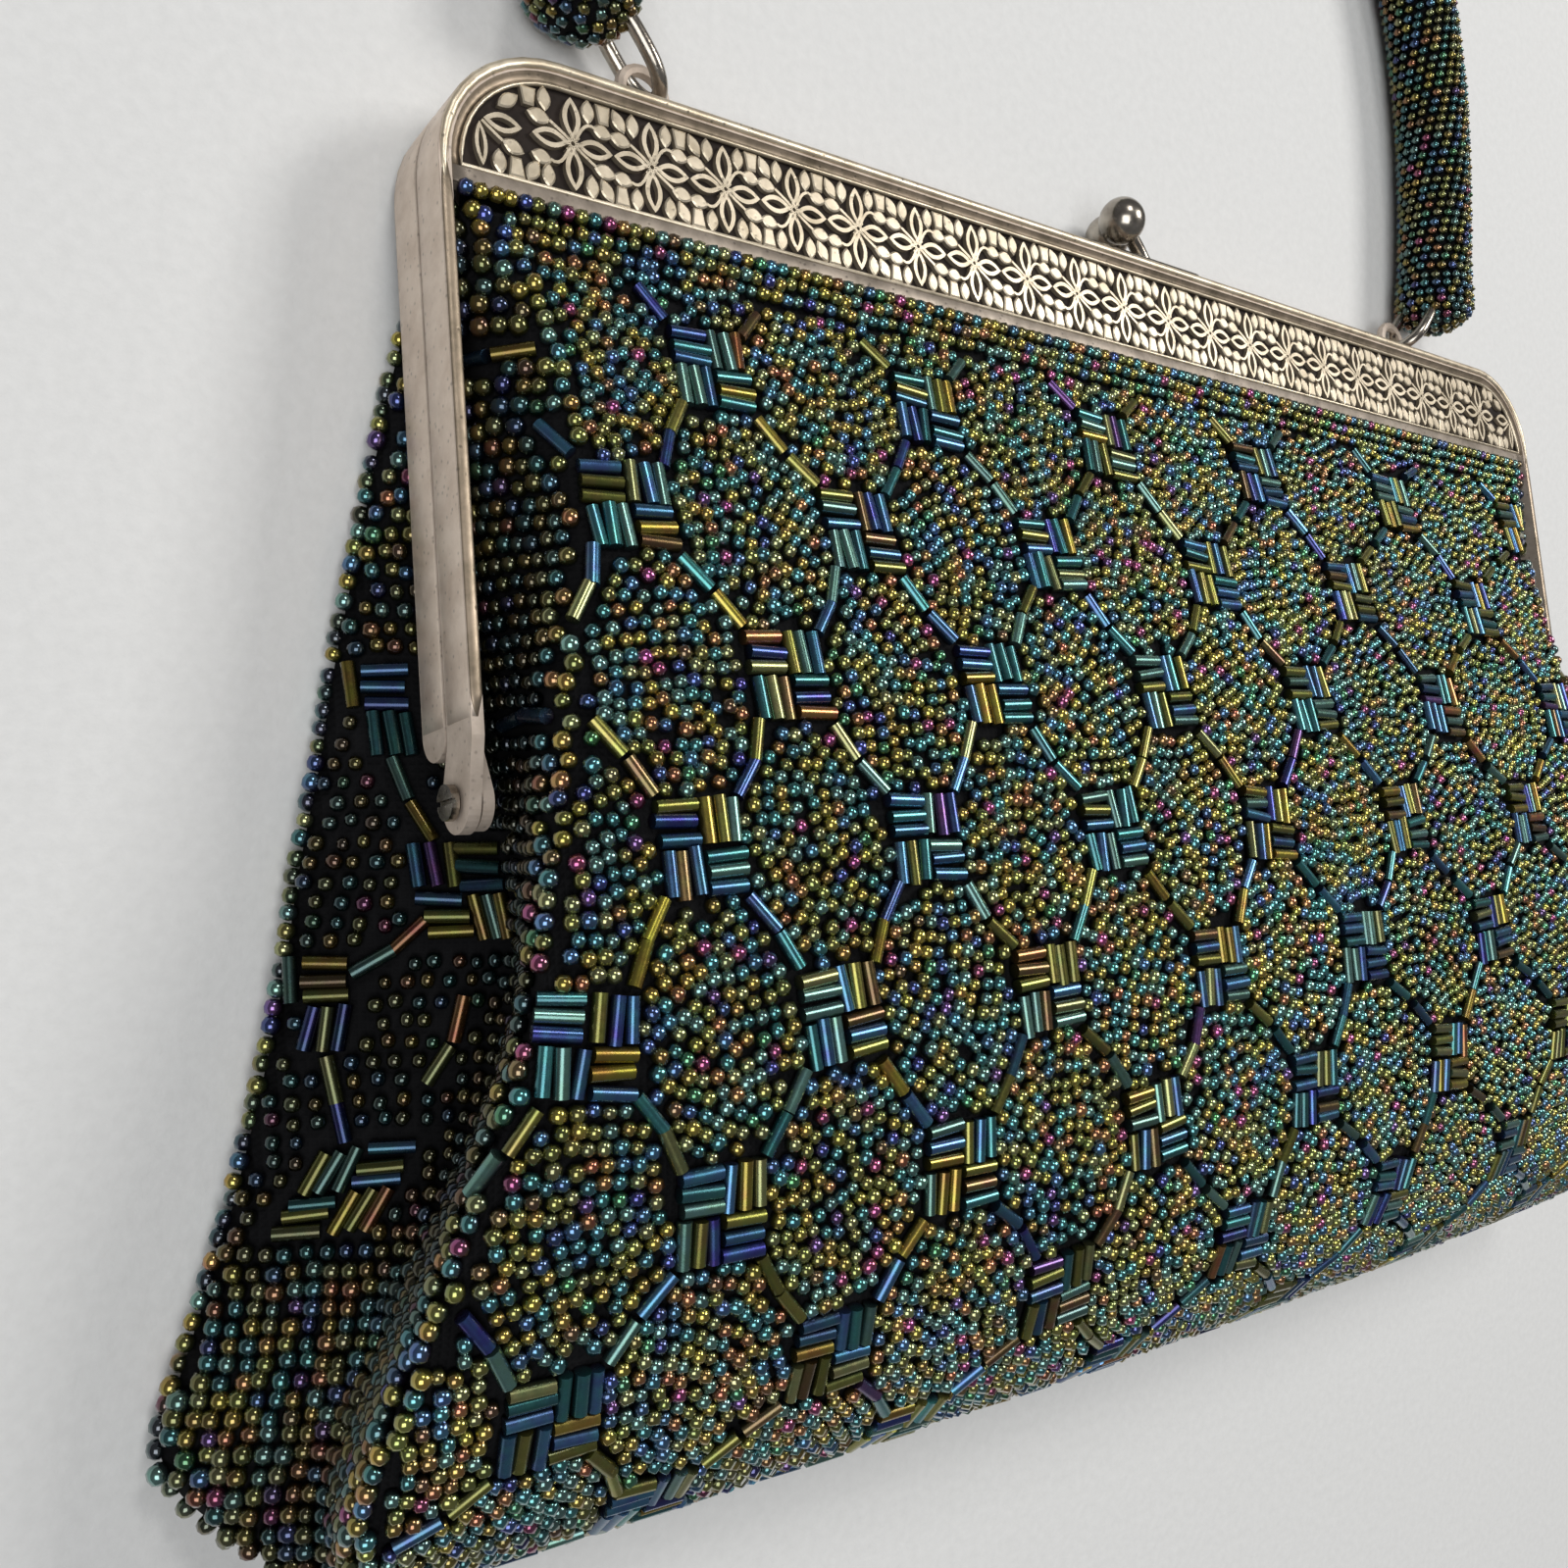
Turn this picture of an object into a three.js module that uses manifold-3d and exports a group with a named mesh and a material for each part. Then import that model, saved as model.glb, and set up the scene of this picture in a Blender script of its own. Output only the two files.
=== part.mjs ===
// A beaded evening handbag lying on its back: a hollow beaded cloth body with folded-in sides, a hinged
// metal purse frame with a kiss clasp, and a beaded tube handle on wire links. Millimetres, +Z up from the
// surface it lies on, +Y towards the handle, +X across the bag. The origin is under the middle of the
// whole outline.
import * as THREE from "three";
import { mergeVertices } from "three/addons/utils/BufferGeometryUtils.js";
import Module from "manifold-3d";

const wasm = await Module();
wasm.setup();

// Driving dimensions
const GAP = 0.3; // clearance between neighbouring pieces

const FRAME_HALF_WIDTH = 107; // to the outside of an arm
const FRAME_TOP = 8.2; // above the middle line of the flower plate
const PLATE_BOTTOM = -7.8; // lower edge of the flower plate
const STRIP_TOP = -6.1; // upper edge of the plain strip under the flowers
const HALF_DEPTH = 5.8; // front to back, of each half of the frame
const RIM = 1.3; // thickness of the rim and of the arms
const CORNER = 14; // outer radius of the frame's corners
const PLATE_RECESS = 0.9; // of the flower ground behind the rim's front
const STRIP_RECESS = 0.3; // of the plain strip behind the rim's front
const PLATE_BACK = 1.9; // depth of the plate's hidden face behind the rim's front
const FRAME_TILT = THREE.MathUtils.degToRad(8); // the frame leans back, the body being thicker than it
const FRAME_LIFT = 13; // height of the plate's middle line at the rim's front

const HINGE_Y = -69.1; // hinge axis, along the arm and behind the frame's front
const HINGE_Z = -4.6;
const LOBE_RADIUS = 3.1;
const ARM_SPLIT = -54; // below it an arm has its own side outline
const LUG_THICK = 1.2;
const SCREW = { shank: 1, head: 1.8, headThick: 0.8, slotWide: 0.5, slotDeep: 0.35 };

const BALL_RADIUS = 3.3;
const STEM_RADIUS = 1.1;
const CLASP_PLATE = { halfLength: 13, offset: 3, width: 3.8, thick: 0.9 };

const LOOP = { x: 78, halfWidth: 2.9, top: 17, wire: 0.75, z: -7.4 };
const LINK = { wire: 0.8, radius: 4.6, stretch: 1.2, x: 81.05, y: 15.5, z: 6, lean: 38.5 };

const HANDLE_RADIUS = 6.4;
const HANDLE_SPAN = 87.5; // from the middle to each leg
const HANDLE_END = 14.5;
const HANDLE_SHOULDER = 36; // where the legs turn into the arch
const HANDLE_TOP = 138.6; // middle of the tube at the top of the arch
const HANDLE_Z = 6.6;
const HANDLE_KNOB = { x: 6.9, y: 4.8, z: 6.5 }; // half sizes of the gathered ends

const CLOTH = 0.95; // bare cloth in the frame
const BEADED_CLOTH = 2.4; // cloth with its layer of beads

// The body's sections from the mouth to the bottom fold, each a closed outline across the bag at its own
// y. crown and back are the heights of the front and of the back at the middle. ridge is the edge between
// the front and a side, valley is the side's folded-in line and corner is the edge between the side and
// the back. round is the corners' radius. Half widths and heights in mm.
const SECTION_COLUMNS = ["y", "crown", "ridgeX", "ridgeZ", "valleyX", "valleyZ", "cornerX", "back", "round"];
const SECTIONS = [
  [-1, 10.9, 100.4, 10.9, 101.8, 7.8, 100.4, 4.75, 0.8],
  [-8.5, 11.2, 101.2, 11.2, 102.6, 8, 101.2, 4.75, 0.8],
  [-9.8, 15, 98, 14, 103, 7, 101.4, 4.9, 1],
  [-12.5, 16, 96.5, 15, 103.4, 4, 104, 1.4, 1],
  [-22, 19.2, 96, 18.2, 103.4, 3.9, 109, 0, 2],
  [-40, 25, 97, 24, 103.3, 6.3, 114, 0, 3],
  [-55, 29.5, 101, 28.5, 102.7, 8.4, 118.2, 0, 3.5],
  [-66, 32.2, 103.3, 31.2, 101.4, 11, 121, 0, 4],
  [-76, 34.3, 105.6, 33.2, 100.6, 14, 124, 0, 4.5],
  [-88, 36.3, 108.5, 35, 99.4, 14.5, 126.6, 0, 5],
  [-100, 37.6, 112.5, 35, 103, 14, 128.8, 0, 5],
  [-112, 38, 116, 33, 109, 13.5, 131, 0, 5],
  [-122, 37, 118.5, 30, 113, 13.2, 134, 0, 5],
  [-131, 33.6, 120, 26.5, 117, 13, 136, 0.8, 5],
  [-138, 28.5, 118.5, 23, 118, 13.6, 130.2, 3.6, 4],
  [-142.5, 23, 115, 19.5, 116.5, 14, 122.8, 7.6, 2.5],
  [-145, 17, 109.5, 16, 111, 14.3, 111.5, 12.6, 0.8],
].map((row) => Object.fromEntries(row.map((value, i) => [SECTION_COLUMNS[i], value])));
const STEPS = { front: 8, side: 3, back: 6, arc: 4 }; // points on each stretch of half an outline
const LAST_INNER = 15; // the inside ends one section above the bottom fold
const FIRST_BEADED = 4; // the first section clear of the frame

// A closed geometry as a solid for joining and cutting.
function solid(geometry) {
  const bare = new THREE.BufferGeometry().setAttribute("position", geometry.getAttribute("position").clone());
  if (geometry.index) bare.setIndex(geometry.index.clone());
  const merged = mergeVertices(bare, 1e-4);
  return new wasm.Manifold(
    new wasm.Mesh({
      numProp: 3,
      vertProperties: new Float32Array(merged.attributes.position.array),
      triVerts: new Uint32Array(merged.index.array),
    }),
  );
}

// A solid back as a geometry.
function geometryOf(manifold) {
  const mesh = manifold.getMesh();
  return new THREE.BufferGeometry()
    .setAttribute("position", new THREE.BufferAttribute(mesh.vertProperties, 3))
    .setIndex(new THREE.BufferAttribute(mesh.triVerts, 1));
}

const join = (...solids) => solids.reduce((whole, next) => whole.add(next));

// An outline in x and y, extruded from one z to another.
function prism(shape, z0, z1, curveSegments = 8) {
  const geometry = new THREE.ExtrudeGeometry(shape, { depth: z1 - z0, bevelEnabled: false, curveSegments });
  return solid(geometry.translate(0, 0, z0));
}

// An outline in y and z, extruded from one x to another.
function slab(shape, x0, x1, curveSegments = 8) {
  const geometry = new THREE.ExtrudeGeometry(shape, { depth: x1 - x0, bevelEnabled: false, curveSegments });
  const across = new THREE.Matrix4().makeBasis(
    new THREE.Vector3(0, 1, 0),
    new THREE.Vector3(0, 0, 1),
    new THREE.Vector3(1, 0, 0),
  );
  return solid(geometry.applyMatrix4(across).translate(x0, 0, 0));
}

// An axis-aligned block between two corners.
function block(low, high) {
  const size = high.map((value, i) => value - low[i]);
  const middle = high.map((value, i) => (value + low[i]) / 2);
  return solid(new THREE.BoxGeometry(...size).translate(...middle));
}

// A round wire along points in one plane. Each ring of the wire has the plane's normal as one of its two
// directions.
function wire(points, normal, radius, closed, sides = 10) {
  const count = points.length;
  const positions = [];
  const index = [];
  points.forEach((point, i) => {
    const before = closed ? points[(i + count - 1) % count] : points[Math.max(i - 1, 0)];
    const after = closed ? points[(i + 1) % count] : points[Math.min(i + 1, count - 1)];
    const outward = after.clone().sub(before).cross(normal).normalize();
    for (let k = 0; k < sides; k++) {
      const angle = (2 * Math.PI * k) / sides;
      const place = point
        .clone()
        .addScaledVector(outward, radius * Math.cos(angle))
        .addScaledVector(normal, radius * Math.sin(angle));
      positions.push(place.x, place.y, place.z);
    }
  });
  const rings = closed ? count : count - 1;
  for (let i = 0; i < rings; i++) {
    for (let k = 0; k < sides; k++) {
      const a = i * sides + k;
      const b = i * sides + ((k + 1) % sides);
      const c = ((i + 1) % count) * sides + k;
      const d = ((i + 1) % count) * sides + ((k + 1) % sides);
      index.push(a, c, b, b, c, d);
    }
  }
  if (!closed) {
    const last = (count - 1) * sides;
    for (let k = 1; k < sides - 1; k++) {
      index.push(0, k, k + 1);
      index.push(last, last + k + 1, last + k);
    }
  }
  const geometry = new THREE.BufferGeometry();
  geometry.setAttribute("position", new THREE.Float32BufferAttribute(positions, 3));
  geometry.setIndex(index);
  const made = solid(geometry);
  return made.volume() > 0 ? made : solid(flipped(geometry));
}

// The same faces turned round.
function flipped(geometry) {
  const turned = geometry.clone();
  const order = turned.index.array;
  for (let i = 0; i < order.length; i += 3) [order[i + 1], order[i + 2]] = [order[i + 2], order[i + 1]];
  return turned;
}

// The frame's arch inset from its outside by a distance, down to a given y, closed along the bottom.
function archOutline(inset, bottom) {
  const half = FRAME_HALF_WIDTH - inset;
  const top = FRAME_TOP - inset;
  const round = CORNER - inset;
  const shape = new THREE.Shape();
  shape.moveTo(-half, bottom);
  shape.lineTo(half, bottom);
  shape.lineTo(half, top - round);
  shape.absarc(half - round, top - round, round, 0, Math.PI / 2);
  shape.lineTo(-half + round, top);
  shape.absarc(-half + round, top - round, round, Math.PI / 2, Math.PI);
  shape.lineTo(-half, bottom);
  return shape;
}

// One half of the frame between its front and its meeting face. facing is +1 for the front half, whose
// ornamented face looks along +Z, and -1 for the back half.
function frameHalf(front, meeting, facing) {
  const level = (depth) => front - facing * depth;
  const between = (a, b) => [Math.min(a, b), Math.max(a, b)];
  const rim = prism(archOutline(0, ARM_SPLIT), ...between(front, meeting)).subtract(
    prism(archOutline(RIM, ARM_SPLIT - 1), ...between(front + facing, meeting - facing)),
  );
  const plate = prism(archOutline(RIM / 2, PLATE_BOTTOM), ...between(level(PLATE_RECESS), level(PLATE_BACK)));
  const stripHalf = FRAME_HALF_WIDTH - RIM / 2;
  const [stripLow, stripHigh] = between(level(STRIP_RECESS), level(PLATE_BACK));
  const strip = block([-stripHalf, PLATE_BOTTOM, stripLow], [stripHalf, STRIP_TOP, stripHigh]);
  return join(rim, plate, strip);
}

// The x range of a layer of an arm, measured inwards from the outside of the arm on one side.
function armLayer(side, outer, inner) {
  const range = [side * (FRAME_HALF_WIDTH - outer), side * (FRAME_HALF_WIDTH - inner)];
  return range.sort((a, b) => a - b);
}

function hingeHole(side, radius) {
  const circle = new THREE.Shape().absarc(HINGE_Y, HINGE_Z, radius, 0, 2 * Math.PI);
  return slab(circle, ...armLayer(side, -2, RIM + 2 * LUG_THICK), 6);
}

// The front half: its arms run on below the split into lobes that carry the hinge screws.
function frameFront() {
  const meeting = -HALF_DEPTH + GAP / 2;
  const neck = -63.2;
  const lobe = new THREE.Shape();
  lobe.moveTo(ARM_SPLIT + 1, 0);
  lobe.lineTo(ARM_SPLIT + 1, meeting);
  lobe.lineTo(neck, meeting);
  lobe.absarc(HINGE_Y, HINGE_Z, LOBE_RADIUS, -0.35 * Math.PI, 0.6 * Math.PI, true);
  lobe.lineTo(neck, 0);
  let half = frameHalf(0, meeting, 1);
  for (const side of [-1, 1]) half = half.add(slab(lobe, ...armLayer(side, 0, RIM)));
  for (const side of [-1, 1]) half = half.subtract(hingeHole(side, SCREW.shank + GAP));
  return half;
}

// An inverted U of wire standing on the frame for the handle's link.
function handleLoop(side) {
  const arch = LOOP.top - LOOP.wire - LOOP.halfWidth;
  const turns = 10;
  const points = [new THREE.Vector3(side * LOOP.x + LOOP.halfWidth, FRAME_TOP - 1, LOOP.z)];
  for (let i = 0; i <= turns; i++) {
    const angle = (Math.PI * i) / turns;
    const x = side * LOOP.x + LOOP.halfWidth * Math.cos(angle);
    points.push(new THREE.Vector3(x, arch + LOOP.halfWidth * Math.sin(angle), LOOP.z));
  }
  points.push(new THREE.Vector3(side * LOOP.x - LOOP.halfWidth, FRAME_TOP - 1, LOOP.z));
  return wire(points, new THREE.Vector3(0, 0, 1), LOOP.wire, false, 8);
}

// The back half: its arms end in round tips, with a lug inside each front lobe, and it carries the
// handle's loops.
function frameBack() {
  const meeting = -HALF_DEPTH - GAP / 2;
  const rear = -2 * HALF_DEPTH;
  const tipRadius = (meeting - rear) / 2;
  const tipY = -61.8;
  const tip = new THREE.Shape();
  tip.moveTo(ARM_SPLIT + 1, meeting);
  tip.lineTo(ARM_SPLIT + 1, rear);
  tip.lineTo(tipY, rear);
  tip.absarc(tipY, meeting - tipRadius, tipRadius, -0.5 * Math.PI, 0.5 * Math.PI, true);
  const lugTop = -56;
  const lugRadius = LOBE_RADIUS - GAP;
  const lug = new THREE.Shape();
  lug.moveTo(lugTop, meeting - 1);
  lug.lineTo(lugTop, rear + 1);
  lug.absarc(HINGE_Y, HINGE_Z, lugRadius, -0.7 * Math.PI, 0.4 * Math.PI, true);
  let half = frameHalf(rear, meeting, -1);
  for (const side of [-1, 1]) {
    const [bridgeLow, bridgeHigh] = armLayer(side, RIM - GAP, RIM + GAP + LUG_THICK);
    const bridge = block([bridgeLow, tipY, rear + 1.5], [bridgeHigh, lugTop, meeting - 1.5]);
    half = join(
      half,
      slab(tip, ...armLayer(side, 0, RIM)),
      slab(lug, ...armLayer(side, RIM + GAP, RIM + GAP + LUG_THICK)),
      bridge,
      handleLoop(side),
    );
  }
  for (const side of [-1, 1]) half = half.subtract(hingeHole(side, SCREW.shank + GAP));
  return half;
}

// A hinge screw from its slotted head outside the arm to the inner face of the lug.
function hingeScrew(side) {
  const shank = new THREE.Shape().absarc(HINGE_Y, HINGE_Z, SCREW.shank, 0, 2 * Math.PI);
  const head = new THREE.Shape().absarc(HINGE_Y, HINGE_Z, SCREW.head, 0, 2 * Math.PI);
  const outside = -GAP - SCREW.headThick;
  const screw = join(
    slab(shank, ...armLayer(side, -GAP - 0.1, RIM + GAP + LUG_THICK), 6),
    slab(head, ...armLayer(side, outside, -GAP), 8),
  );
  const [slotLow, slotHigh] = armLayer(side, outside - 1, outside + SCREW.slotDeep);
  const slot = block(
    [slotLow, HINGE_Y - SCREW.slotWide / 2, HINGE_Z - SCREW.head - 1],
    [slotHigh, HINGE_Y + SCREW.slotWide / 2, HINGE_Z + SCREW.head + 1],
  );
  return screw.subtract(slot);
}

// Half of the kiss clasp: a base plate on the frame's top, a bent stem and a ball. side is the x side of
// its foot.
function claspHalf(side, plateZ, ball) {
  const { halfLength, offset, width, thick } = CLASP_PLATE;
  const low = FRAME_TOP + GAP;
  const outline = new THREE.Shape();
  const middle = side * offset;
  const straight = halfLength - width / 2;
  outline.moveTo(middle - straight, -width / 2);
  outline.lineTo(middle + straight, -width / 2);
  outline.absarc(middle + straight, 0, width / 2, -Math.PI / 2, Math.PI / 2);
  outline.lineTo(middle - straight, width / 2);
  outline.absarc(middle - straight, 0, width / 2, Math.PI / 2, 1.5 * Math.PI);
  const raised = { depth: thick, bevelEnabled: false, curveSegments: 6 };
  const sheet = new THREE.ExtrudeGeometry(outline, raised).rotateX(-Math.PI / 2);
  const plate = solid(sheet.translate(0, low, plateZ));
  const foot = new THREE.Vector3(side * 4.4, low + thick / 2, plateZ);
  const bend = new THREE.Vector3(side * 4.2, low + thick + 1.4, plateZ);
  const path = new THREE.QuadraticBezierCurve3(foot, bend, ball);
  const circle = new THREE.Shape().absarc(0, 0, STEM_RADIUS, 0, 2 * Math.PI);
  const stem = solid(
    new THREE.ExtrudeGeometry(circle, { steps: 8, curveSegments: 5, bevelEnabled: false, extrudePath: path }),
  );
  const knob = solid(new THREE.SphereGeometry(BALL_RADIUS, 20, 12).translate(ball.x, ball.y, ball.z));
  return join(plate, stem, knob);
}

// A wire link from a frame loop to the handle: a stretched ring in the plane of Z and a line leaning
// outwards.
function linkSolid(side, radius) {
  const lean = THREE.MathUtils.degToRad(LINK.lean);
  const along = new THREE.Vector3(side * Math.sin(lean), Math.cos(lean), 0);
  const up = new THREE.Vector3(0, 0, 1);
  const centre = new THREE.Vector3(side * LINK.x, LINK.y, LINK.z);
  const turns = 28;
  const points = [];
  for (let i = 0; i < turns; i++) {
    const angle = (2 * Math.PI * (i + 0.5)) / turns;
    const reach = LINK.radius * Math.cos(angle) + Math.sign(Math.cos(angle)) * LINK.stretch;
    const rise = LINK.radius * Math.sin(angle);
    points.push(centre.clone().addScaledVector(along, reach).addScaledVector(up, rise));
  }
  return wire(points, along.clone().cross(up), radius, true);
}

// The handle's middle line: two short straight legs and half an ellipse.
function handlePath() {
  const turns = 40;
  const start = HANDLE_END + HANDLE_KNOB.y;
  const points = [new THREE.Vector3(-HANDLE_SPAN, start, HANDLE_Z)];
  for (let i = 0; i <= turns; i++) {
    const angle = Math.PI * (1 - i / turns);
    const rise = (HANDLE_TOP - HANDLE_SHOULDER) * Math.sin(angle);
    points.push(new THREE.Vector3(HANDLE_SPAN * Math.cos(angle), HANDLE_SHOULDER + rise, HANDLE_Z));
  }
  points.push(new THREE.Vector3(HANDLE_SPAN, start, HANDLE_Z));
  return points;
}

// The beaded tube with gathered ends, open where the links go through it.
function handleSolid() {
  let tube = wire(handlePath(), new THREE.Vector3(0, 0, 1), HANDLE_RADIUS, false, 12);
  for (const side of [-1, 1]) {
    const knob = new THREE.SphereGeometry(1, 16, 12).scale(HANDLE_KNOB.x, HANDLE_KNOB.y, HANDLE_KNOB.z);
    tube = tube.add(solid(knob.translate(side * HANDLE_SPAN, HANDLE_END + HANDLE_KNOB.y, HANDLE_Z)));
  }
  for (const side of [-1, 1]) tube = tube.subtract(linkSolid(side, LINK.wire + GAP));
  return tube;
}

// A polygon with rounded corners as points: each stretch between corners has its own number of steps.
function roundedOutline(corners, radius, stretches, arcSteps) {
  const points = [];
  const last = corners.length - 1;
  let from = corners[0].clone();
  for (let i = 1; i <= last; i++) {
    const corner = corners[i];
    const back = corners[i - 1].clone().sub(corner);
    const ahead = i < last ? corners[i + 1].clone().sub(corner) : null;
    let enter = corner.clone();
    let leave = corner.clone();
    if (ahead) {
      const turn = Math.PI - back.angleTo(ahead);
      const reach = Math.min(radius * Math.tan(turn / 2), 0.45 * back.length(), 0.45 * ahead.length());
      enter = corner.clone().addScaledVector(back.normalize(), reach);
      leave = corner.clone().addScaledVector(ahead.normalize(), reach);
    }
    const steps = stretches[i - 1];
    for (let k = 0; k < steps; k++) points.push(from.clone().lerp(enter, k / steps));
    if (ahead) {
      const curve = new THREE.QuadraticBezierCurve(enter, corner, leave);
      for (let k = 0; k < arcSteps; k++) points.push(curve.getPoint(k / arcSteps));
    } else points.push(enter);
    from = leave;
  }
  return points;
}

// One section of the body as a closed outline in x and z. The front is crowned between its ridges.
function bodyOutline(section) {
  const corners = [
    new THREE.Vector2(0, section.ridgeZ),
    new THREE.Vector2(-section.ridgeX, section.ridgeZ),
    new THREE.Vector2(-section.valleyX, section.valleyZ),
    new THREE.Vector2(-section.cornerX, section.back),
    new THREE.Vector2(0, section.back),
  ];
  const stretches = [STEPS.front, STEPS.side, STEPS.side, STEPS.back];
  const left = roundedOutline(corners, section.round, stretches, STEPS.arc);
  const crowned = left.map((point, i) => {
    const share = i < STEPS.front ? 1 - (point.x / section.ridgeX) ** 2 : 0;
    return new THREE.Vector2(point.x, point.y + (section.crown - section.ridgeZ) * share);
  });
  const right = crowned
    .slice(1, -1)
    .map((point) => new THREE.Vector2(-point.x, point.y))
    .reverse();
  return [...crowned, ...right];
}

// The section of the inside, a wall's thickness within a section: straight sides move in by the wall's own
// width.
function innerSection(section, wall) {
  const sideWall = (dx, dz) => (wall * Math.hypot(dx, dz)) / dz;
  const upper = sideWall(section.ridgeX - section.valleyX, section.ridgeZ - section.valleyZ);
  const fall = section.valleyZ - section.back;
  const reach = section.cornerX - section.valleyX;
  const lower = sideWall(reach, fall);
  return {
    ...section,
    crown: section.crown - wall,
    ridgeX: section.ridgeX - 1.3 * wall,
    ridgeZ: section.ridgeZ - wall,
    valleyX: section.valleyX - Math.min((upper + lower) / 2, 1.3 * upper),
    valleyZ: Math.max(section.valleyZ, section.back + wall + 1),
    cornerX: section.valleyX + (reach * (fall - wall)) / fall - lower,
    back: section.back + wall,
    round: Math.max(section.round - wall, 0.5),
  };
}

// The hollow body: an outer and an inner skin through the sections, joined round the mouth and closed at
// the bottom.
function bodyGeometry() {
  const outlines = SECTIONS.map(bodyOutline);
  const inner = SECTIONS.slice(0, LAST_INNER + 1).map((section, i) =>
    bodyOutline(innerSection(section, i < FIRST_BEADED ? CLOTH : BEADED_CLOTH)),
  );
  const count = outlines[0].length;
  const positions = [];
  const index = [];
  const addLoop = (outline, y) => {
    const first = positions.length / 3;
    for (const point of outline) positions.push(point.x, y, point.y);
    return first;
  };
  const outerLoops = outlines.map((outline, i) => addLoop(outline, SECTIONS[i].y));
  const innerLoops = inner.map((outline, i) => addLoop(outline, SECTIONS[i].y));
  const skin = (upper, lower) => {
    for (let k = 0; k < count; k++) {
      const next = (k + 1) % count;
      index.push(upper + k, upper + next, lower + k, upper + next, lower + next, lower + k);
    }
  };
  for (let i = 0; i + 1 < outerLoops.length; i++) skin(outerLoops[i], outerLoops[i + 1]);
  for (let i = 0; i + 1 < innerLoops.length; i++) skin(innerLoops[i + 1], innerLoops[i]);
  skin(innerLoops[0], outerLoops[0]);
  const close = (first, section, turned) => {
    const middle = positions.length / 3;
    positions.push(0, section.y, section.valleyZ);
    for (let k = 0; k < count; k++) {
      const next = (k + 1) % count;
      if (turned) index.push(middle, first + next, first + k);
      else index.push(middle, first + k, first + next);
    }
  };
  close(outerLoops.at(-1), SECTIONS.at(-1), false);
  close(innerLoops.at(-1), SECTIONS[LAST_INNER], true);
  const geometry = new THREE.BufferGeometry();
  geometry.setAttribute("position", new THREE.Float32BufferAttribute(positions, 3));
  geometry.setIndex(index);
  return geometry;
}

const beaded = new THREE.MeshStandardMaterial({ color: 0x2a3330, roughness: 0.35, metalness: 0.4 });
const silver = new THREE.MeshStandardMaterial({ color: 0xb8ab95, roughness: 0.38, metalness: 0.9 });
const nickel = new THREE.MeshStandardMaterial({ color: 0x8f8576, roughness: 0.18, metalness: 1 });

const handbag = new THREE.Group();
const frame = new THREE.Group();
frame.position.set(0, 0, FRAME_LIFT);
frame.rotation.x = -FRAME_TILT;
handbag.add(frame);

function place(parent, name, geometry, material) {
  const mesh = new THREE.Mesh(geometry, material);
  mesh.name = name;
  parent.add(mesh);
}

const sides = [
  { word: "left", sign: -1 },
  { word: "right", sign: 1 },
];
place(handbag, "bag_body", bodyGeometry(), beaded);
place(frame, "frame_front", geometryOf(frameFront()), silver);
place(frame, "frame_back", geometryOf(frameBack()), silver);
place(frame, "clasp_front", geometryOf(claspHalf(1, -2.9, new THREE.Vector3(-1.5, 14, -1.4))), nickel);
place(frame, "clasp_back", geometryOf(claspHalf(-1, -8.7, new THREE.Vector3(2.2, 15, -7.2))), nickel);
for (const { word, sign } of sides) {
  place(frame, "hinge_screw_" + word, geometryOf(hingeScrew(sign)), silver);
  place(handbag, "link_" + word, geometryOf(linkSolid(sign, LINK.wire)), nickel);
}
place(handbag, "handle", geometryOf(handleSolid()), beaded);

export default handbag;
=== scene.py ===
# %% [markdown]
# # A beaded evening bag, lying on its back
# The bag has three kinds of parts: a soft black cloth body covered with glass beads, a hinged metal
# purse frame with a flower band, and a stuffed tube handle sewn over with beads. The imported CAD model
# gives every place and size. This file dresses it: the frame keeps its CAD solids and gets finer
# ornament, and the soft parts are made again as cloth and beads.

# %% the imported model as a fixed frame
import bmesh
import bpy
import numpy as np
from mathutils import Matrix


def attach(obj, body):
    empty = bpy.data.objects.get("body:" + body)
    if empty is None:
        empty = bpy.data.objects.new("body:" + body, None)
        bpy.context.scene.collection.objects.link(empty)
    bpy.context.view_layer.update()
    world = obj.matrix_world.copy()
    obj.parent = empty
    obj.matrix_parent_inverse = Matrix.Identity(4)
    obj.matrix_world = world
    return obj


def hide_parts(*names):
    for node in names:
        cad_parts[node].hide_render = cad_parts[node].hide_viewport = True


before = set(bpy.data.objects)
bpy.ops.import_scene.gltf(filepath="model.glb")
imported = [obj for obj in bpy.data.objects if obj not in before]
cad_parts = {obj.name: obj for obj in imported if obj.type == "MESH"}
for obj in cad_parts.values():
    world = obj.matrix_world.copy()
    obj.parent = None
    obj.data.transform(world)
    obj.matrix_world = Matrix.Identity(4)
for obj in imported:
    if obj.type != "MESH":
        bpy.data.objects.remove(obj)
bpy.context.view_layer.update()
MM = 0.001
rng = np.random.default_rng(20)
print("nodes", sorted(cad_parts))

# %% [markdown]
# ## The camera
# The photograph was taken from close by, over the left side of the bag and looking down to the right.
# A pinhole camera is a place, two directions and a focal length, so these are set as numbers that were
# worked out from the bag's known corners. The sensor is square, as the picture is.

# %% camera
CAMERA_PLACE = np.array([-164.3, -66.9, 148.0])
CAMERA_FORWARD = np.array([0.596, -0.002, -0.803])
CAMERA_RIGHT = np.array([0.803, 0.003, 0.596])
FOCAL_PIXELS = 1477
PICTURE_PIXELS = 1599
SENSOR = 36.0
NEAREST = 0.005  # metres in front of the camera


def unit(vectors):
    """Each vector divided by its own length."""
    return vectors / np.linalg.norm(vectors, axis=-1, keepdims=True)


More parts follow.
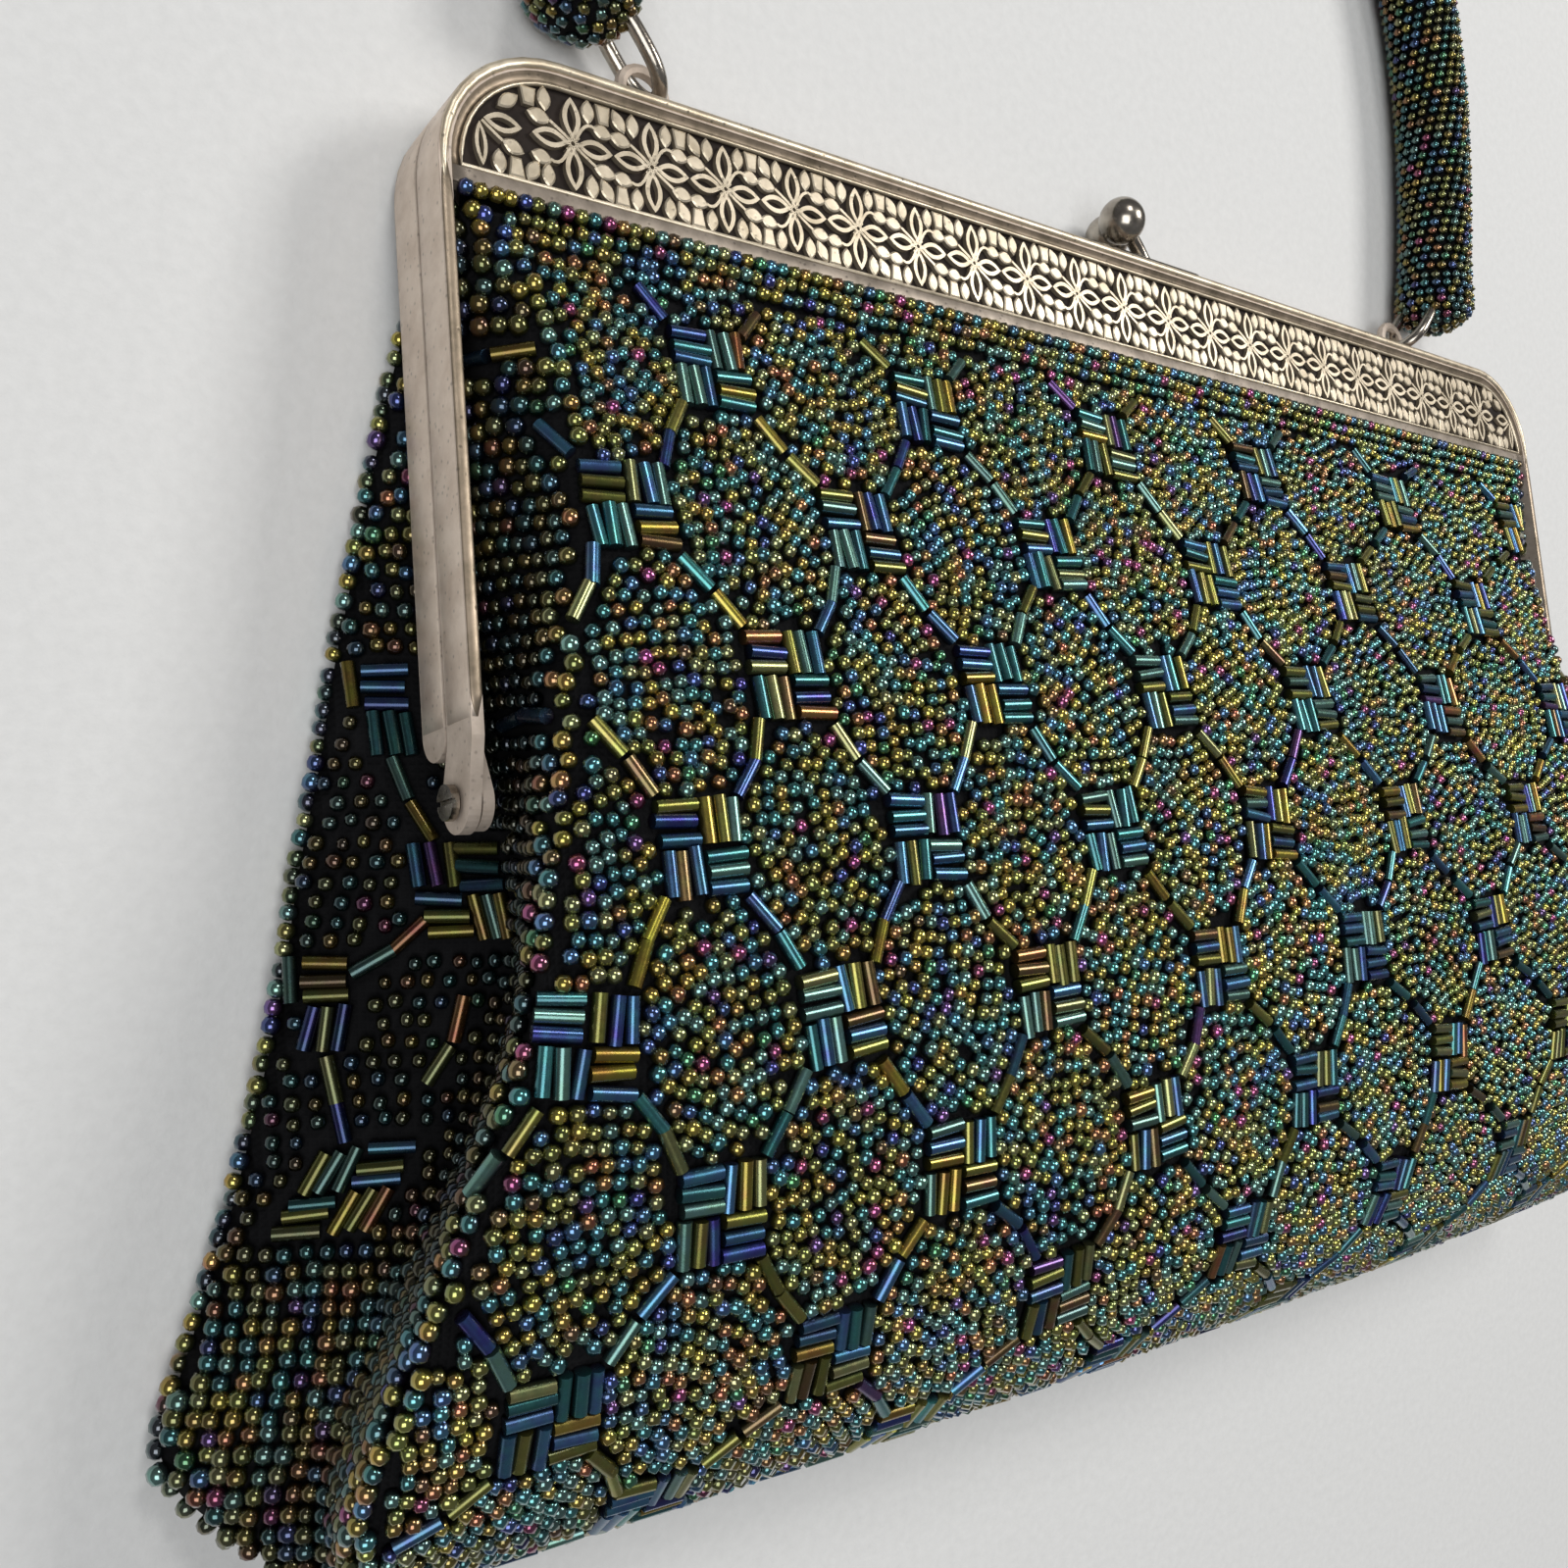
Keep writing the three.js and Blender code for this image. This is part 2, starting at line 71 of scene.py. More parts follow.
def set_up(name, data, place, right, back):
    """A camera or a light at a place in metres. It looks against its back direction, and its up direction is
    square to back and right."""
    matrix = np.eye(4)
    matrix[:3] = np.column_stack([right, np.cross(back, right), back, place])
    thing = bpy.data.objects.new(name, data)
    thing.matrix_world = Matrix(matrix.tolist())
    bpy.context.scene.collection.objects.link(thing)
    return thing


lens = bpy.data.cameras.new("bag_camera")
lens.sensor_fit = "HORIZONTAL"
lens.sensor_width = SENSOR
lens.lens = SENSOR * FOCAL_PIXELS / PICTURE_PIXELS
lens.clip_start = NEAREST
forward = unit(CAMERA_FORWARD)
right = unit(CAMERA_RIGHT - forward * np.dot(CAMERA_RIGHT, forward))
bpy.context.scene.camera = set_up("bag_camera", lens, CAMERA_PLACE * MM, right, -forward)
print("camera at", CAMERA_PLACE, "mm, lens", round(lens.lens, 2))

# %% [markdown]
# ## Putting arrays into a mesh
# Every new piece below is worked out as whole numpy arrays: points in millimetres and faces as rows of
# point numbers. One helper turns them into a Blender object at the origin and rides it on the bag.
# foreach_set copies a whole array at once, which matters for a hundred thousand points.

# %% mesh helpers
def put_mesh(name, points, faces, slot, smooth=True):
    """A new piece from points in mm and a list of face arrays, each with one face a row."""
    mesh = bpy.data.meshes.new(name)
    mesh.vertices.add(len(points))
    mesh.vertices.foreach_set("co", (points * MM).astype(np.float32).ravel())
    sizes = np.concatenate([np.full(len(rows), rows.shape[1]) for rows in faces])
    corners = np.concatenate([rows.ravel() for rows in faces])
    mesh.loops.add(len(corners))
    mesh.loops.foreach_set("vertex_index", corners.astype(np.int32))
    mesh.polygons.add(len(sizes))
    starts = np.concatenate([[0], np.cumsum(sizes)[:-1]])
    mesh.polygons.foreach_set("loop_start", starts.astype(np.int32))
    mesh.polygons.foreach_set("use_smooth", np.full(len(sizes), smooth))
    mesh.update(calc_edges=True)
    mesh.validate()
    piece = bpy.data.objects.new(name, mesh)
    bpy.context.scene.collection.objects.link(piece)
    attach(piece, "root")
    return piece


def grid_faces(rows, columns, close_rows=False, close_columns=False):
    """Quads of a grid of points numbered row by row, the last row or column joined to the first if asked."""
    i = np.arange(rows if close_rows else rows - 1)
    j = np.arange(columns if close_columns else columns - 1)
    i, j = np.meshgrid(i, j, indexing="ij")
    below = (i + 1) % rows
    beside = (j + 1) % columns
    quads = [i * columns + j, below * columns + j, below * columns + beside, i * columns + beside]
    return np.stack(quads, axis=-1).reshape(-1, 4)


def tube_faces(rings, sides, flip=False, closed=False):
    """Faces of a tube whose rings are numbered one after another, with a face over each end unless the tube
    closes on itself. Flip turns every face over."""
    faces = [grid_faces(rings, sides, close_rows=closed, close_columns=True)]
    if not closed:
        ring = np.arange(sides)
        faces.append(np.array([ring, (ring + (rings - 1) * sides)[::-1]]))
    return [rows[:, ::-1] for rows in faces] if flip else faces


def copied_faces(faces, copies, points_each):
    """Faces of many copies of a shape: the point numbers of each copy start where the last one's end."""
    start = np.arange(copies)[:, None, None] * points_each
    return [(rows[None] + start).reshape(-1, rows.shape[1]) for rows in faces]


def gather(shapes):
    """Several (points, faces) shapes as one."""
    points = []
    faces = []
    start = 0
    for shape_points, shape_faces in shapes:
        points.append(shape_points)
        faces.extend(rows + start for rows in shape_faces)
        start += len(shape_points)
    return np.concatenate(points), faces


def triangles(piece):
    """How many triangles a piece's faces make."""
    return sum(len(face.vertices) - 2 for face in piece.data.polygons)


print("a grid of 3 by 4 points has", len(grid_faces(3, 4)), "faces")

# %% [markdown]
# ## The body as a smooth loft
# The CAD body is a stack of outlines across the bag, from the mouth in the frame down to the bottom fold.
# The table here has the same rows, with a shoulder between ridge and valley and with the upper corners let
# out towards the frame's arms. It is drawn in by the thickness of a bead, so that the beads' tops come out
# at the CAD surface. Three patches cover the body: one goes down the front, round the bottom fold and up the
# back, and one lies on each folded-in side. A smooth curve through the rows takes out its corners, as cloth
# would.

# %% the table of outlines
# columns: y, crown, ridge x and z, shoulder x and z, valley x and z, corner x, back, rounding
SECTIONS = np.array([
    [-1, 10.9, 100.4, 10.9, 101.1, 9.3, 101.8, 7.8, 100.4, 4.75, 0.8],
    [-8.5, 11.6, 102.2, 11.4, 102.6, 9.8, 102.6, 8, 101.2, 4.75, 0.8],
    [-9.8, 15, 103.4, 14.4, 105.4, 12.6, 103.6, 7, 101.4, 4.9, 1],
    [-12.5, 16, 101.6, 15.4, 105.4, 13.1, 104, 4, 104, 1.4, 1],
    [-22, 19.2, 98.2, 18.4, 104.9, 13.4, 103.6, 3.9, 109, 0, 2],
    [-40, 25, 97, 24, 102.2, 13.6, 103.3, 6.3, 114, 0, 3],
    [-55, 29.5, 101, 28.5, 102.4, 17, 102.7, 8.4, 118.2, 0, 3.5],
    [-66, 32.2, 103.3, 31.2, 102.4, 21, 101.4, 11, 121, 0, 4],
    [-76, 34.3, 105.6, 33.2, 103.1, 23.6, 100.6, 14, 124, 0, 4.5],
    [-88, 36.3, 108.5, 35, 104, 24.8, 99.4, 14.5, 126.6, 0, 5],
    [-100, 37.6, 112.5, 35, 107.8, 24.5, 103, 14, 128.8, 0, 5],
    [-112, 38, 116, 33, 112.5, 23.2, 109, 13.5, 131, 0, 5],
    [-122, 37, 118.5, 30, 115.8, 21.6, 113, 13.2, 134, 0, 5],
    [-131, 33.6, 120, 26.5, 118.5, 19.8, 117, 13, 136, 0.8, 5],
    [-138, 28.5, 118.5, 23, 118.2, 18.3, 118, 13.6, 130.2, 3.6, 4],
    [-142.5, 23, 115, 19.5, 115.8, 16.8, 116.5, 14, 122.8, 7.6, 2.5],
    [-145, 17, 109.5, 16, 110.2, 15.2, 111, 14.3, 111.5, 12.6, 0.8],
])
BEAD_LAYER = 1.45  # the cloth lies this far inside the CAD surface
MOUTH_LAYER = (0.15, 0.15, 0.9)  # the same for the first rows, in the frame's mouth
FOLD_LIFT = ((-145, -142.5, -138, -131), (1, 0.75, 0.35, 0))  # y, and the layer's share that lifts a row
UNDER_FRAME = 2  # the first row of the table below the frame
BEND_POINTS = 17
BEND_SHARE = 0.45  # a bend takes at most this share of the shorter line
CROWN_POINTS = 60


def drawn_in(table):
    """The table with every outline moved in by the bead layer, less inside the frame's mouth."""
    layer = np.full(len(table), BEAD_LAYER)
    layer[: len(MOUTH_LAYER)] = MOUTH_LAYER
    lift = np.interp(table[:, 0], *FOLD_LIFT)
    rows = table.copy()
    rows[:, 0] += lift * layer
    rows[:, [1, 2, 3, 4, 6, 8]] -= layer[:, None]
    rows[:, 9] += layer
    return rows


def quadratic(start, knee, end, count):
    """A curve from start to end drawn towards a knee: (1 - t)^2 start + 2 t (1 - t) knee + t^2 end."""
    t = np.linspace(0, 1, count)[:, None]
    return (1 - t) ** 2 * start + 2 * t * (1 - t) * knee + t**2 * end


def bend(before, corner, after, radius):
    """A corner rounded by a quadratic curve that starts and ends a reach away from it on both lines."""
    back = before - corner
    ahead = after - corner
    lengths = np.linalg.norm([back, ahead], axis=1)
    turn = np.pi - np.arccos(np.clip(back @ ahead / lengths.prod(), -1, 1))
    reach = min(radius * np.tan(turn / 2), BEND_SHARE * lengths.min())
    enter = corner + back / lengths[0] * reach
    leave = corner + ahead / lengths[1] * reach
    return quadratic(enter, corner, leave, BEND_POINTS)


def half_outline(row):
    """One outline from the middle of the front to the middle of the back, as front, side and rear lines in
    x and z. The front is crowned: its height falls with the square of x."""
    crown, ridge_x, ridge_z = row[1:4]
    shoulder_at, valley_at = row[4:6], row[6:8]
    corner_x, back, rounding = row[8:]
    corners = np.array(
        [[0, ridge_z], [ridge_x, ridge_z], shoulder_at, valley_at, [corner_x, back], [0, back]]
    )
    ridge, shoulder, valley, corner = [
        bend(corners[i - 1], corners[i], corners[i + 1], rounding) for i in (1, 2, 3, 4)
    ]
    half = BEND_POINTS // 2
    x = np.linspace(0, ridge[0, 0], CROWN_POINTS)
    z = ridge_z + (crown - ridge_z) * (1 - (x / ridge[0, 0]) ** 2)
    front = np.vstack([np.column_stack([x, z]), ridge[1 : half + 1]])
    side = np.vstack([ridge[half:], shoulder, valley, corner[: half + 1]])
    rear = np.vstack([corner[half:], [[0, back]]])
    return front, side, rear


def resample(line, count):
    """A line's points spread evenly along its length."""
    steps = np.linalg.norm(np.diff(line, axis=0), axis=1)
    along = np.concatenate([[0], np.cumsum(steps)])
    even = np.linspace(0, along[-1], count)
    return np.column_stack([np.interp(even, along, column) for column in line.T])


def at_height(line, y, count):
    """An evenly spread outline in x and z, set into space at its y."""
    even = resample(line, count)
    return np.column_stack([even[:, 0], np.full(count, y), even[:, 1]])


cloth_table = drawn_in(SECTIONS)
print(len(cloth_table), "outlines, front half length",
      [round(float(half_outline(row)[0][-1, 0]), 1) for row in cloth_table[::5]])

# %% patches through the outlines
HALF_COLUMNS = 40
SIDE_COLUMNS = 25
PER_SPAN = 12
MIRROR = np.array([-1, 1, 1])


def smooth_rows(control, per_span):
    """A Catmull-Rom curve down each column of a grid of points: it passes through every row, and its slope
    at a row is half the step between the rows before and after."""
    first = 2 * control[:1] - control[1:2]
    last = 2 * control[-1:] - control[-2:-1]
    padded = np.concatenate([first, control, last])
    a, b, c, d = padded[:-3], padded[1:-2], padded[2:-1], padded[3:]
    t = np.linspace(0, 1, per_span, endpoint=False).reshape(1, -1, 1, 1)
    a, b, c, d = [rows[:, None] for rows in (a, b, c, d)]
    curve = 0.5 * (2 * b + (c - a) * t + (2 * a - 5 * b + 4 * c - d) * t**2
                   + (3 * b - a - 3 * c + d) * t**3)
    return np.concatenate([curve.reshape(-1, *control.shape[1:]), control[-1:]])


outlines = [half_outline(row) for row in cloth_table]
heights = cloth_table[:, 0]


def full_width(line, y):
    """A half line from the middle outwards, and its mirror image, as one row from left to right."""
    half = at_height(line, y, HALF_COLUMNS + 1)
    return np.concatenate([(half * MIRROR)[:0:-1], half])


front_rows = [full_width(front, y) for (front, side, rear), y in zip(outlines, heights)]
rear_rows = [full_width(rear[::-1], y) for (front, side, rear), y in zip(outlines, heights)]
wrap = smooth_rows(np.array(front_rows + rear_rows[::-1]), PER_SPAN)
side_rows = [at_height(side, y, SIDE_COLUMNS) for (front, side, rear), y in zip(outlines, heights)]
gusset = smooth_rows(np.array(side_rows), PER_SPAN)

# the sides' edges are drawn onto the wrap's edges, so that the patches share them
share = np.linspace(0, 1, SIDE_COLUMNS)[None, :, None]
front_edge = wrap[: len(gusset), -1][:, None]
rear_edge = wrap[::-1][: len(gusset), -1][:, None]
gusset = gusset + (1 - share) * (front_edge - gusset[:, :1]) + share * (rear_edge - gusset[:, -1:])
print("wrap", wrap.shape, "gusset", gusset.shape)

# %% [markdown]
# ## Charts: where a bead goes
# Beads are laid out on the cloth as a maker would, in distances along it. A chart is a patch with a length
# measured across and one measured down. It turns a place on the flat pattern into a point in space and the
# direction that points out of the cloth there.

# %% charts
class Chart:
    """A grid of points with lengths: across from a start column, and down a measuring column. A chart with a
    side chart goes on over its edge: beyond its own reach a length across is counted on the side."""

    def __init__(self, grid, start_column, measure_column, origin_row, sign=1, side=None):
        self.grid = grid
        self.side = side
        self.start = start_column
        down = np.gradient(grid, axis=0)
        beside = np.gradient(grid, axis=1)
        self.normals = sign * unit(np.cross(down, beside) + 1e-12)
        reach = np.linalg.norm(np.diff(grid[:, start_column:], axis=1), axis=2).sum(axis=1)
        self.reach = np.maximum(reach, 0.5)
        steps = np.linalg.norm(np.diff(grid[:, measure_column], axis=0), axis=1)
        self.down = np.concatenate([[0], np.cumsum(steps)])
        self.down -= self.down[origin_row]

    def row(self, v):
        """The grid row at a length down, as a number with its fraction."""
        return np.interp(v, self.down, np.arange(len(self.down)))

    def limit(self, v):
        """The length from the start column to the patch's edge."""
        return np.interp(v, self.down, self.reach)

    def place(self, s, v):
        """Points and outward directions at lengths s across and v down."""
        row = self.row(v)
        limit = self.limit(v)
        spread = (self.grid.shape[1] - 1 - self.start) / limit
        points, tops = self.between(row, self.start + s * spread)
        if self.side is None:
            return points, tops
        over = np.abs(s) - limit
        from_back = len(self.grid) - 1 - row
        side_row = np.minimum(np.minimum(row, from_back), len(self.side.grid) - 1)
        length = np.interp(side_row, np.arange(len(self.side.grid)), self.side.reach)
        share = np.where(row < from_back, over / length, 1 - over / length)
        side_points, side_tops = self.side.between(side_row, share * (self.side.grid.shape[1] - 1))
        turn = np.column_stack([np.sign(s), np.ones_like(s), np.ones_like(s)])
        beyond = (over > 0)[:, None]
        return np.where(beyond, side_points * turn, points), np.where(beyond, side_tops * turn, tops)

    def between(self, row, column):
        """Points and outward directions at grid rows and columns with fractions, each from the four grid
        points round it by their nearness."""
        column = np.clip(column, 0, self.grid.shape[1] - 1.001)
        i = np.minimum(row.astype(int), len(self.grid) - 2)
        j = column.astype(int)
        f = (row - i)[:, None]
        g = (column - j)[:, None]
        mix = []
        for values in (self.grid, self.normals):
            upper = values[i, j] * (1 - g) + values[i, j + 1] * g
            lower = values[i + 1, j] * (1 - g) + values[i + 1, j + 1] * g
            mix.append(upper * (1 - f) + lower * f)
        return mix[0], unit(mix[1])


gusset_charts = {
    "right": Chart(gusset, 0, SIDE_COLUMNS // 2, UNDER_FRAME * PER_SPAN),
    "left": Chart(gusset * MIRROR, 0, SIDE_COLUMNS // 2, UNDER_FRAME * PER_SPAN, sign=-1),
}
body_chart = Chart(wrap, HALF_COLUMNS, HALF_COLUMNS, UNDER_FRAME * PER_SPAN, side=gusset_charts["right"])
front_rows_count = (len(SECTIONS) - 1) * PER_SPAN + 1
front_down = body_chart.down[:front_rows_count]
front_y = wrap[:front_rows_count, HALF_COLUMNS, 1]


def down_at(y):
    """The length down the front's middle line at a given y."""
    return float(np.interp(-y, -front_y, front_down))


print("front length", round(down_at(-143), 1), "whole wrap", round(float(body_chart.down[-1]), 1))

# %% [markdown]
# ## The cloth
# The ground between the beads is a black woven cloth, sewn as a shell: the wrap and the two sides share
# their edges. The shell is merged along those edges and gets its thickness inwards from a Solidify
# modifier, so it stays hollow and open in the frame's mouth.

# %% black cloth
CLOTH_THICK = 0.7
MERGE = 0.02  # points nearer than this become one


def node_material(name):
    """A new material: itself, its nodes and links, its main shader and the piece's own coordinates."""
    material = bpy.data.materials.new(name)
    material.use_nodes = True
    nodes = material.node_tree.nodes
    place = nodes.new("ShaderNodeTexCoord").outputs["Object"]
    return material, nodes, material.node_tree.links, nodes["Principled BSDF"], place


def ramp(nodes, links, value, stops):
    """A value turned into a colour by (place, grey or colour) stops."""
    node = nodes.new("ShaderNodeValToRGB")
    elements = node.color_ramp.elements
    while len(elements) < len(stops):
        elements.new(0.5)
    for element, (place, colour) in zip(elements, stops):
        element.position = place
        element.color = (*colour, 1) if hasattr(colour, "__len__") else (colour, colour, colour, 1)
    links.new(value, node.inputs["Fac"])
    return node.outputs["Color"]


def mapped(nodes, links, value, low, high):
    """A value from 0 to 1 stretched to run from low to high."""
    node = nodes.new("ShaderNodeMapRange")
    node.inputs["To Min"].default_value = low
    node.inputs["To Max"].default_value = high
    links.new(value, node.inputs["Value"])
    return node.outputs["Result"]


def noise(nodes, links, coordinates, scale, detail=3.0, roughness=0.55):
    """A noise texture of so many waves a metre on the given coordinates."""
    node = nodes.new("ShaderNodeTexNoise")
    node.inputs["Scale"].default_value = scale
    node.inputs["Detail"].default_value = detail
    node.inputs["Roughness"].default_value = roughness
    links.new(coordinates, node.inputs["Vector"])
    return node.outputs["Fac"]


def bump(nodes, links, height, shader, strength, distance):
    """A bump of so many metres from a height output to a shader's normal."""
    node = nodes.new("ShaderNodeBump")
    node.inputs["Strength"].default_value = strength
    node.inputs["Distance"].default_value = distance
    links.new(height, node.inputs["Height"])
    links.new(node.outputs["Normal"], shader.inputs["Normal"])


def black_cloth_finish():
    """Black weave: two crossed fine waves as bump, a noise that greys it a little."""
    material, nodes, links, shader, place = node_material("black_cloth")
    weave = []
    for direction in ("X", "Y"):
        wave = nodes.new("ShaderNodeTexWave")
        wave.bands_direction = direction
        wave.inputs["Scale"].default_value = 420
        wave.inputs["Distortion"].default_value = 1.5
        links.new(place, wave.inputs["Vector"])
        weave.append(wave.outputs["Fac"])
    crossed = nodes.new("ShaderNodeMath")
    crossed.operation = "MAXIMUM"
    links.new(weave[0], crossed.inputs[0])
    links.new(weave[1], crossed.inputs[1])
    bump(nodes, links, crossed.outputs[0], shader, 0.6, 0.0002)
    worn = noise(nodes, links, place, 90)
    colour = ramp(nodes, links, worn, [(0.3, (0.003, 0.003, 0.0034)), (0.8, (0.008, 0.008, 0.009))])
    links.new(colour, shader.inputs["Base Color"])
    shader.inputs["Roughness"].default_value = 0.85
    shader.inputs["Specular IOR Level"].default_value = 0.1
    return material


def bag_shell():
    """The wrap and both sides as one merged surface, every third row and second column of the patches."""
    patches = [wrap[::3, ::2], gusset[::3, ::2], (gusset * MIRROR)[::3, ::-2]]
    shapes = [(patch.reshape(-1, 3), [grid_faces(*patch.shape[:2])]) for patch in patches]
    piece = put_mesh("bag_cloth", *gather(shapes), "beaded_cloth")
    shell = bmesh.new()
    shell.from_mesh(piece.data)
    bmesh.ops.remove_doubles(shell, verts=shell.verts, dist=MERGE * MM)
    bmesh.ops.recalc_face_normals(shell, faces=shell.faces)
    shell.to_mesh(piece.data)
    shell.free()
    return piece


bag_cloth = bag_shell()
solidify = bag_cloth.modifiers.new("thickness", "SOLIDIFY")
solidify.thickness = CLOTH_THICK * MM
solidify.offset = -1
bag_cloth.data.materials.append(black_cloth_finish())
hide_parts("bag_body")

# %% [markdown]
# ## Beads as small turned shapes
# A seed bead is a short barrel with rounded ends, a bugle is a thin tube, and there are thousands of them.
# Each kind is one small closed shape with few faces. One array sum carries it to every place: its own
# length lies along the thread, and its top points out of the cloth. Shading is smooth, so a few sides are
# enough for a round look. A colour stored at every point lets one material serve all the seeds, and one all
# the bugles.

# %% bead shapes
def round_angles(count, start=0.0):
    """Equal angles round a circle, the first a share of a step from zero."""
    return 2 * np.pi * (np.arange(count) + start) / count


def turned_shape(stations, radii, sides):
    """Rings of points round the first axis at the given stations and radii, closed by two end faces."""
    angle = round_angles(sides, 0.5)
    ring = np.column_stack([np.zeros(sides), np.cos(angle), np.sin(angle)])
    points = np.concatenate([ring * radius + [station, 0, 0] for station, radius in zip(stations, radii)])
    return points, tube_faces(len(stations), sides, flip=True)


SEED = turned_shape([-1, -0.52, 0.52, 1], [0.55, 1, 1, 0.55], 6)
ROUND_SEED = turned_shape([-1, -0.68, 0, 0.68, 1], [0.45, 0.85, 1, 0.85, 0.45], 8)
FAR_SEED = turned_shape([-0.9, 0, 0.9], [0.6, 1.05, 0.6], 5)
PLAIN_SEED = turned_shape([-0.9, 0, 0.9], [0.62, 1.08, 0.62], 4)
BUGLE = turned_shape([-1, 1], [1, 1], 9)
PLAIN_BUGLE = turned_shape([-1, 1], [1, 1], 6)
SEED_RADIUS = 0.89
SEED_HALF = 0.75
BUGLE_RADIUS = 0.8
BUGLE_HALF = 2.28
# painted light and shade: a bead's colour is darker on its underside and full on its top, as if lit from
# above
PAINTED_UNDERSIDE_SHADE = 0.3  # strength of a bead's colour on its underside
UNDER_HUE = 0.45  # share of the turned hue there
PAINTED_TOP_LIGHT = (0.3, 0.75)  # of the top's colour: at half height, and what a radius up adds


def scatter(name, shape, centres, axes, tops, half, radius, tints):
    """One mesh of many copies of a shape. A point (a, b, c) of the shape goes to centre + a half axis
    + b radius side + c radius top, where the side is square to the axis and the top. Each point gets a
    colour with painted light and shade: full on top, darker below, and there with its hue turned: the
    lustre's second colour."""
    points, faces = shape
    axes = unit(axes)
    tops = unit(tops - axes * np.sum(axes * tops, axis=1, keepdims=True))
    sides = np.cross(tops, axes)
    half = np.broadcast_to(half, len(centres))[:, None, None]
    radius = np.broadcast_to(radius, len(centres))[:, None, None]
    spread = centres[:, None] + half * points[None, :, :1] * axes[:, None]
    spread = spread + radius * (points[None, :, 1:2] * sides[:, None] + points[None, :, 2:] * tops[:, None])
    every = copied_faces(faces, len(centres), len(points))
    piece = put_mesh(name, spread.reshape(-1, 3), every, "beaded_cloth")
    tint_and_shade = piece.data.attributes.new("tint_and_shade", "FLOAT_COLOR", "POINT")
    # painted light on each bead's top and painted shade on its underside
    facing = np.clip(PAINTED_TOP_LIGHT[0] + PAINTED_TOP_LIGHT[1] * points[None, :, 2:], 0, 1)
    painted_under_shade = PAINTED_UNDERSIDE_SHADE * ((1 - UNDER_HUE) * tints + UNDER_HUE * tints[:, [2, 0, 1]])
    colours = facing * tints[:, None] + (1 - facing) * painted_under_shade[:, None]
    opaque = np.ones((len(centres), len(points), 1))
    tint_and_shade.data.foreach_set("color", np.concatenate([colours, opaque], axis=-1).astype(np.float32).ravel())
    return piece


print("seed faces", sum(len(rows) for rows in SEED[1]), "bugle faces", sum(len(rows) for rows in BUGLE[1]))

# %% [markdown]
# ## Colours of the glass
# The beads are glass with a metallic lustre, mixed by the handful: mostly gold and olive, then teal and
# grey-green, with copper, blue, and a little magenta and violet. The bugles hold more blue. A palette with
# weights gives each bead a colour, then a little change in strength. The material bends the colour with a
# fine noise, which stands for the lustre's play of colours, and a clear coat gives the sharp highlights.

# %% palettes and the lustre finish
PALETTE = np.array([
    [0.40, 0.29, 0.05],  # gold
    [0.27, 0.26, 0.06],  # olive
    [0.30, 0.31, 0.13],  # pale brass
    [0.06, 0.24, 0.25],  # teal
    [0.15, 0.30, 0.26],  # sea grey
    [0.07, 0.19, 0.34],  # steel blue
    [0.05, 0.09, 0.28],  # deep blue
    [0.42, 0.19, 0.07],  # copper
    [0.22, 0.14, 0.06],  # bronze
    [0.38, 0.07, 0.20],  # magenta
    [0.16, 0.08, 0.26],  # violet
    [0.07, 0.25, 0.12],  # green
])
SEED_SHARES = np.array([17, 17, 9, 16, 13, 8, 3, 8, 2, 3, 1, 3]) / 100
BUGLE_SHARES = np.array([6, 17, 6, 17, 14, 28, 6, 1, 4, 0, 1, 0]) / 100
TINT_RANGE = (0.7, 1.3)
HUE_TURN = (0.42, 0.58)  # range of the node's hue, which leaves a colour as it is at 0.5


def handful(count, shares):
    """Colours drawn from the palette by their shares, each a little stronger or weaker."""
    picked = PALETTE[rng.choice(len(PALETTE), size=count, p=shares)]
    return np.clip(picked * rng.uniform(*TINT_RANGE, (count, 1)), 0, 1)


def lustre_finish(name, low, high, coat):
    """Metallic glass: the stored colour with its painted shade, hue turned by noise, a gloss that wanders
    between a low and a high roughness, and a clear coat."""
    material, nodes, links, shader, place = node_material(name)
    tint_and_shade = nodes.new("ShaderNodeAttribute")
    tint_and_shade.attribute_name = "tint_and_shade"
    play = noise(nodes, links, place, 520, 1.0)
    hue = nodes.new("ShaderNodeHueSaturation")
    links.new(mapped(nodes, links, play, *HUE_TURN), hue.inputs["Hue"])
    links.new(tint_and_shade.outputs["Color"], hue.inputs["Color"])
    links.new(hue.outputs["Color"], shader.inputs["Base Color"])
    gloss = noise(nodes, links, place, 1500, 2.0)
    links.new(mapped(nodes, links, gloss, low, high), shader.inputs["Roughness"])
    shader.inputs["Metallic"].default_value = 0.9
    shader.inputs["Coat Weight"].default_value = coat
    shader.inputs["Coat Roughness"].default_value = 0.04
    return material


lustre = lustre_finish("lustre_glass", 0.10, 0.26, 0.9)
bugle_lustre = lustre_finish("bugle_glass", 0.18, 0.36, 0.3)
print("palette", len(PALETTE), "colours")

# %% [markdown]
# ## The lattice of bugles
# Bugle beads draw a net of diamonds on the cloth. At each crossing sits a square block of twelve bugles:
# four groups of three that lie across and down by turns. Between the blocks run links of two bugles, bent
# a little in the middle. The net was sewn by eye, so it starts as an even one and is moved by a smooth
# formula: it is wider towards the right, leans and sags. It goes on round the bottom and up the back.

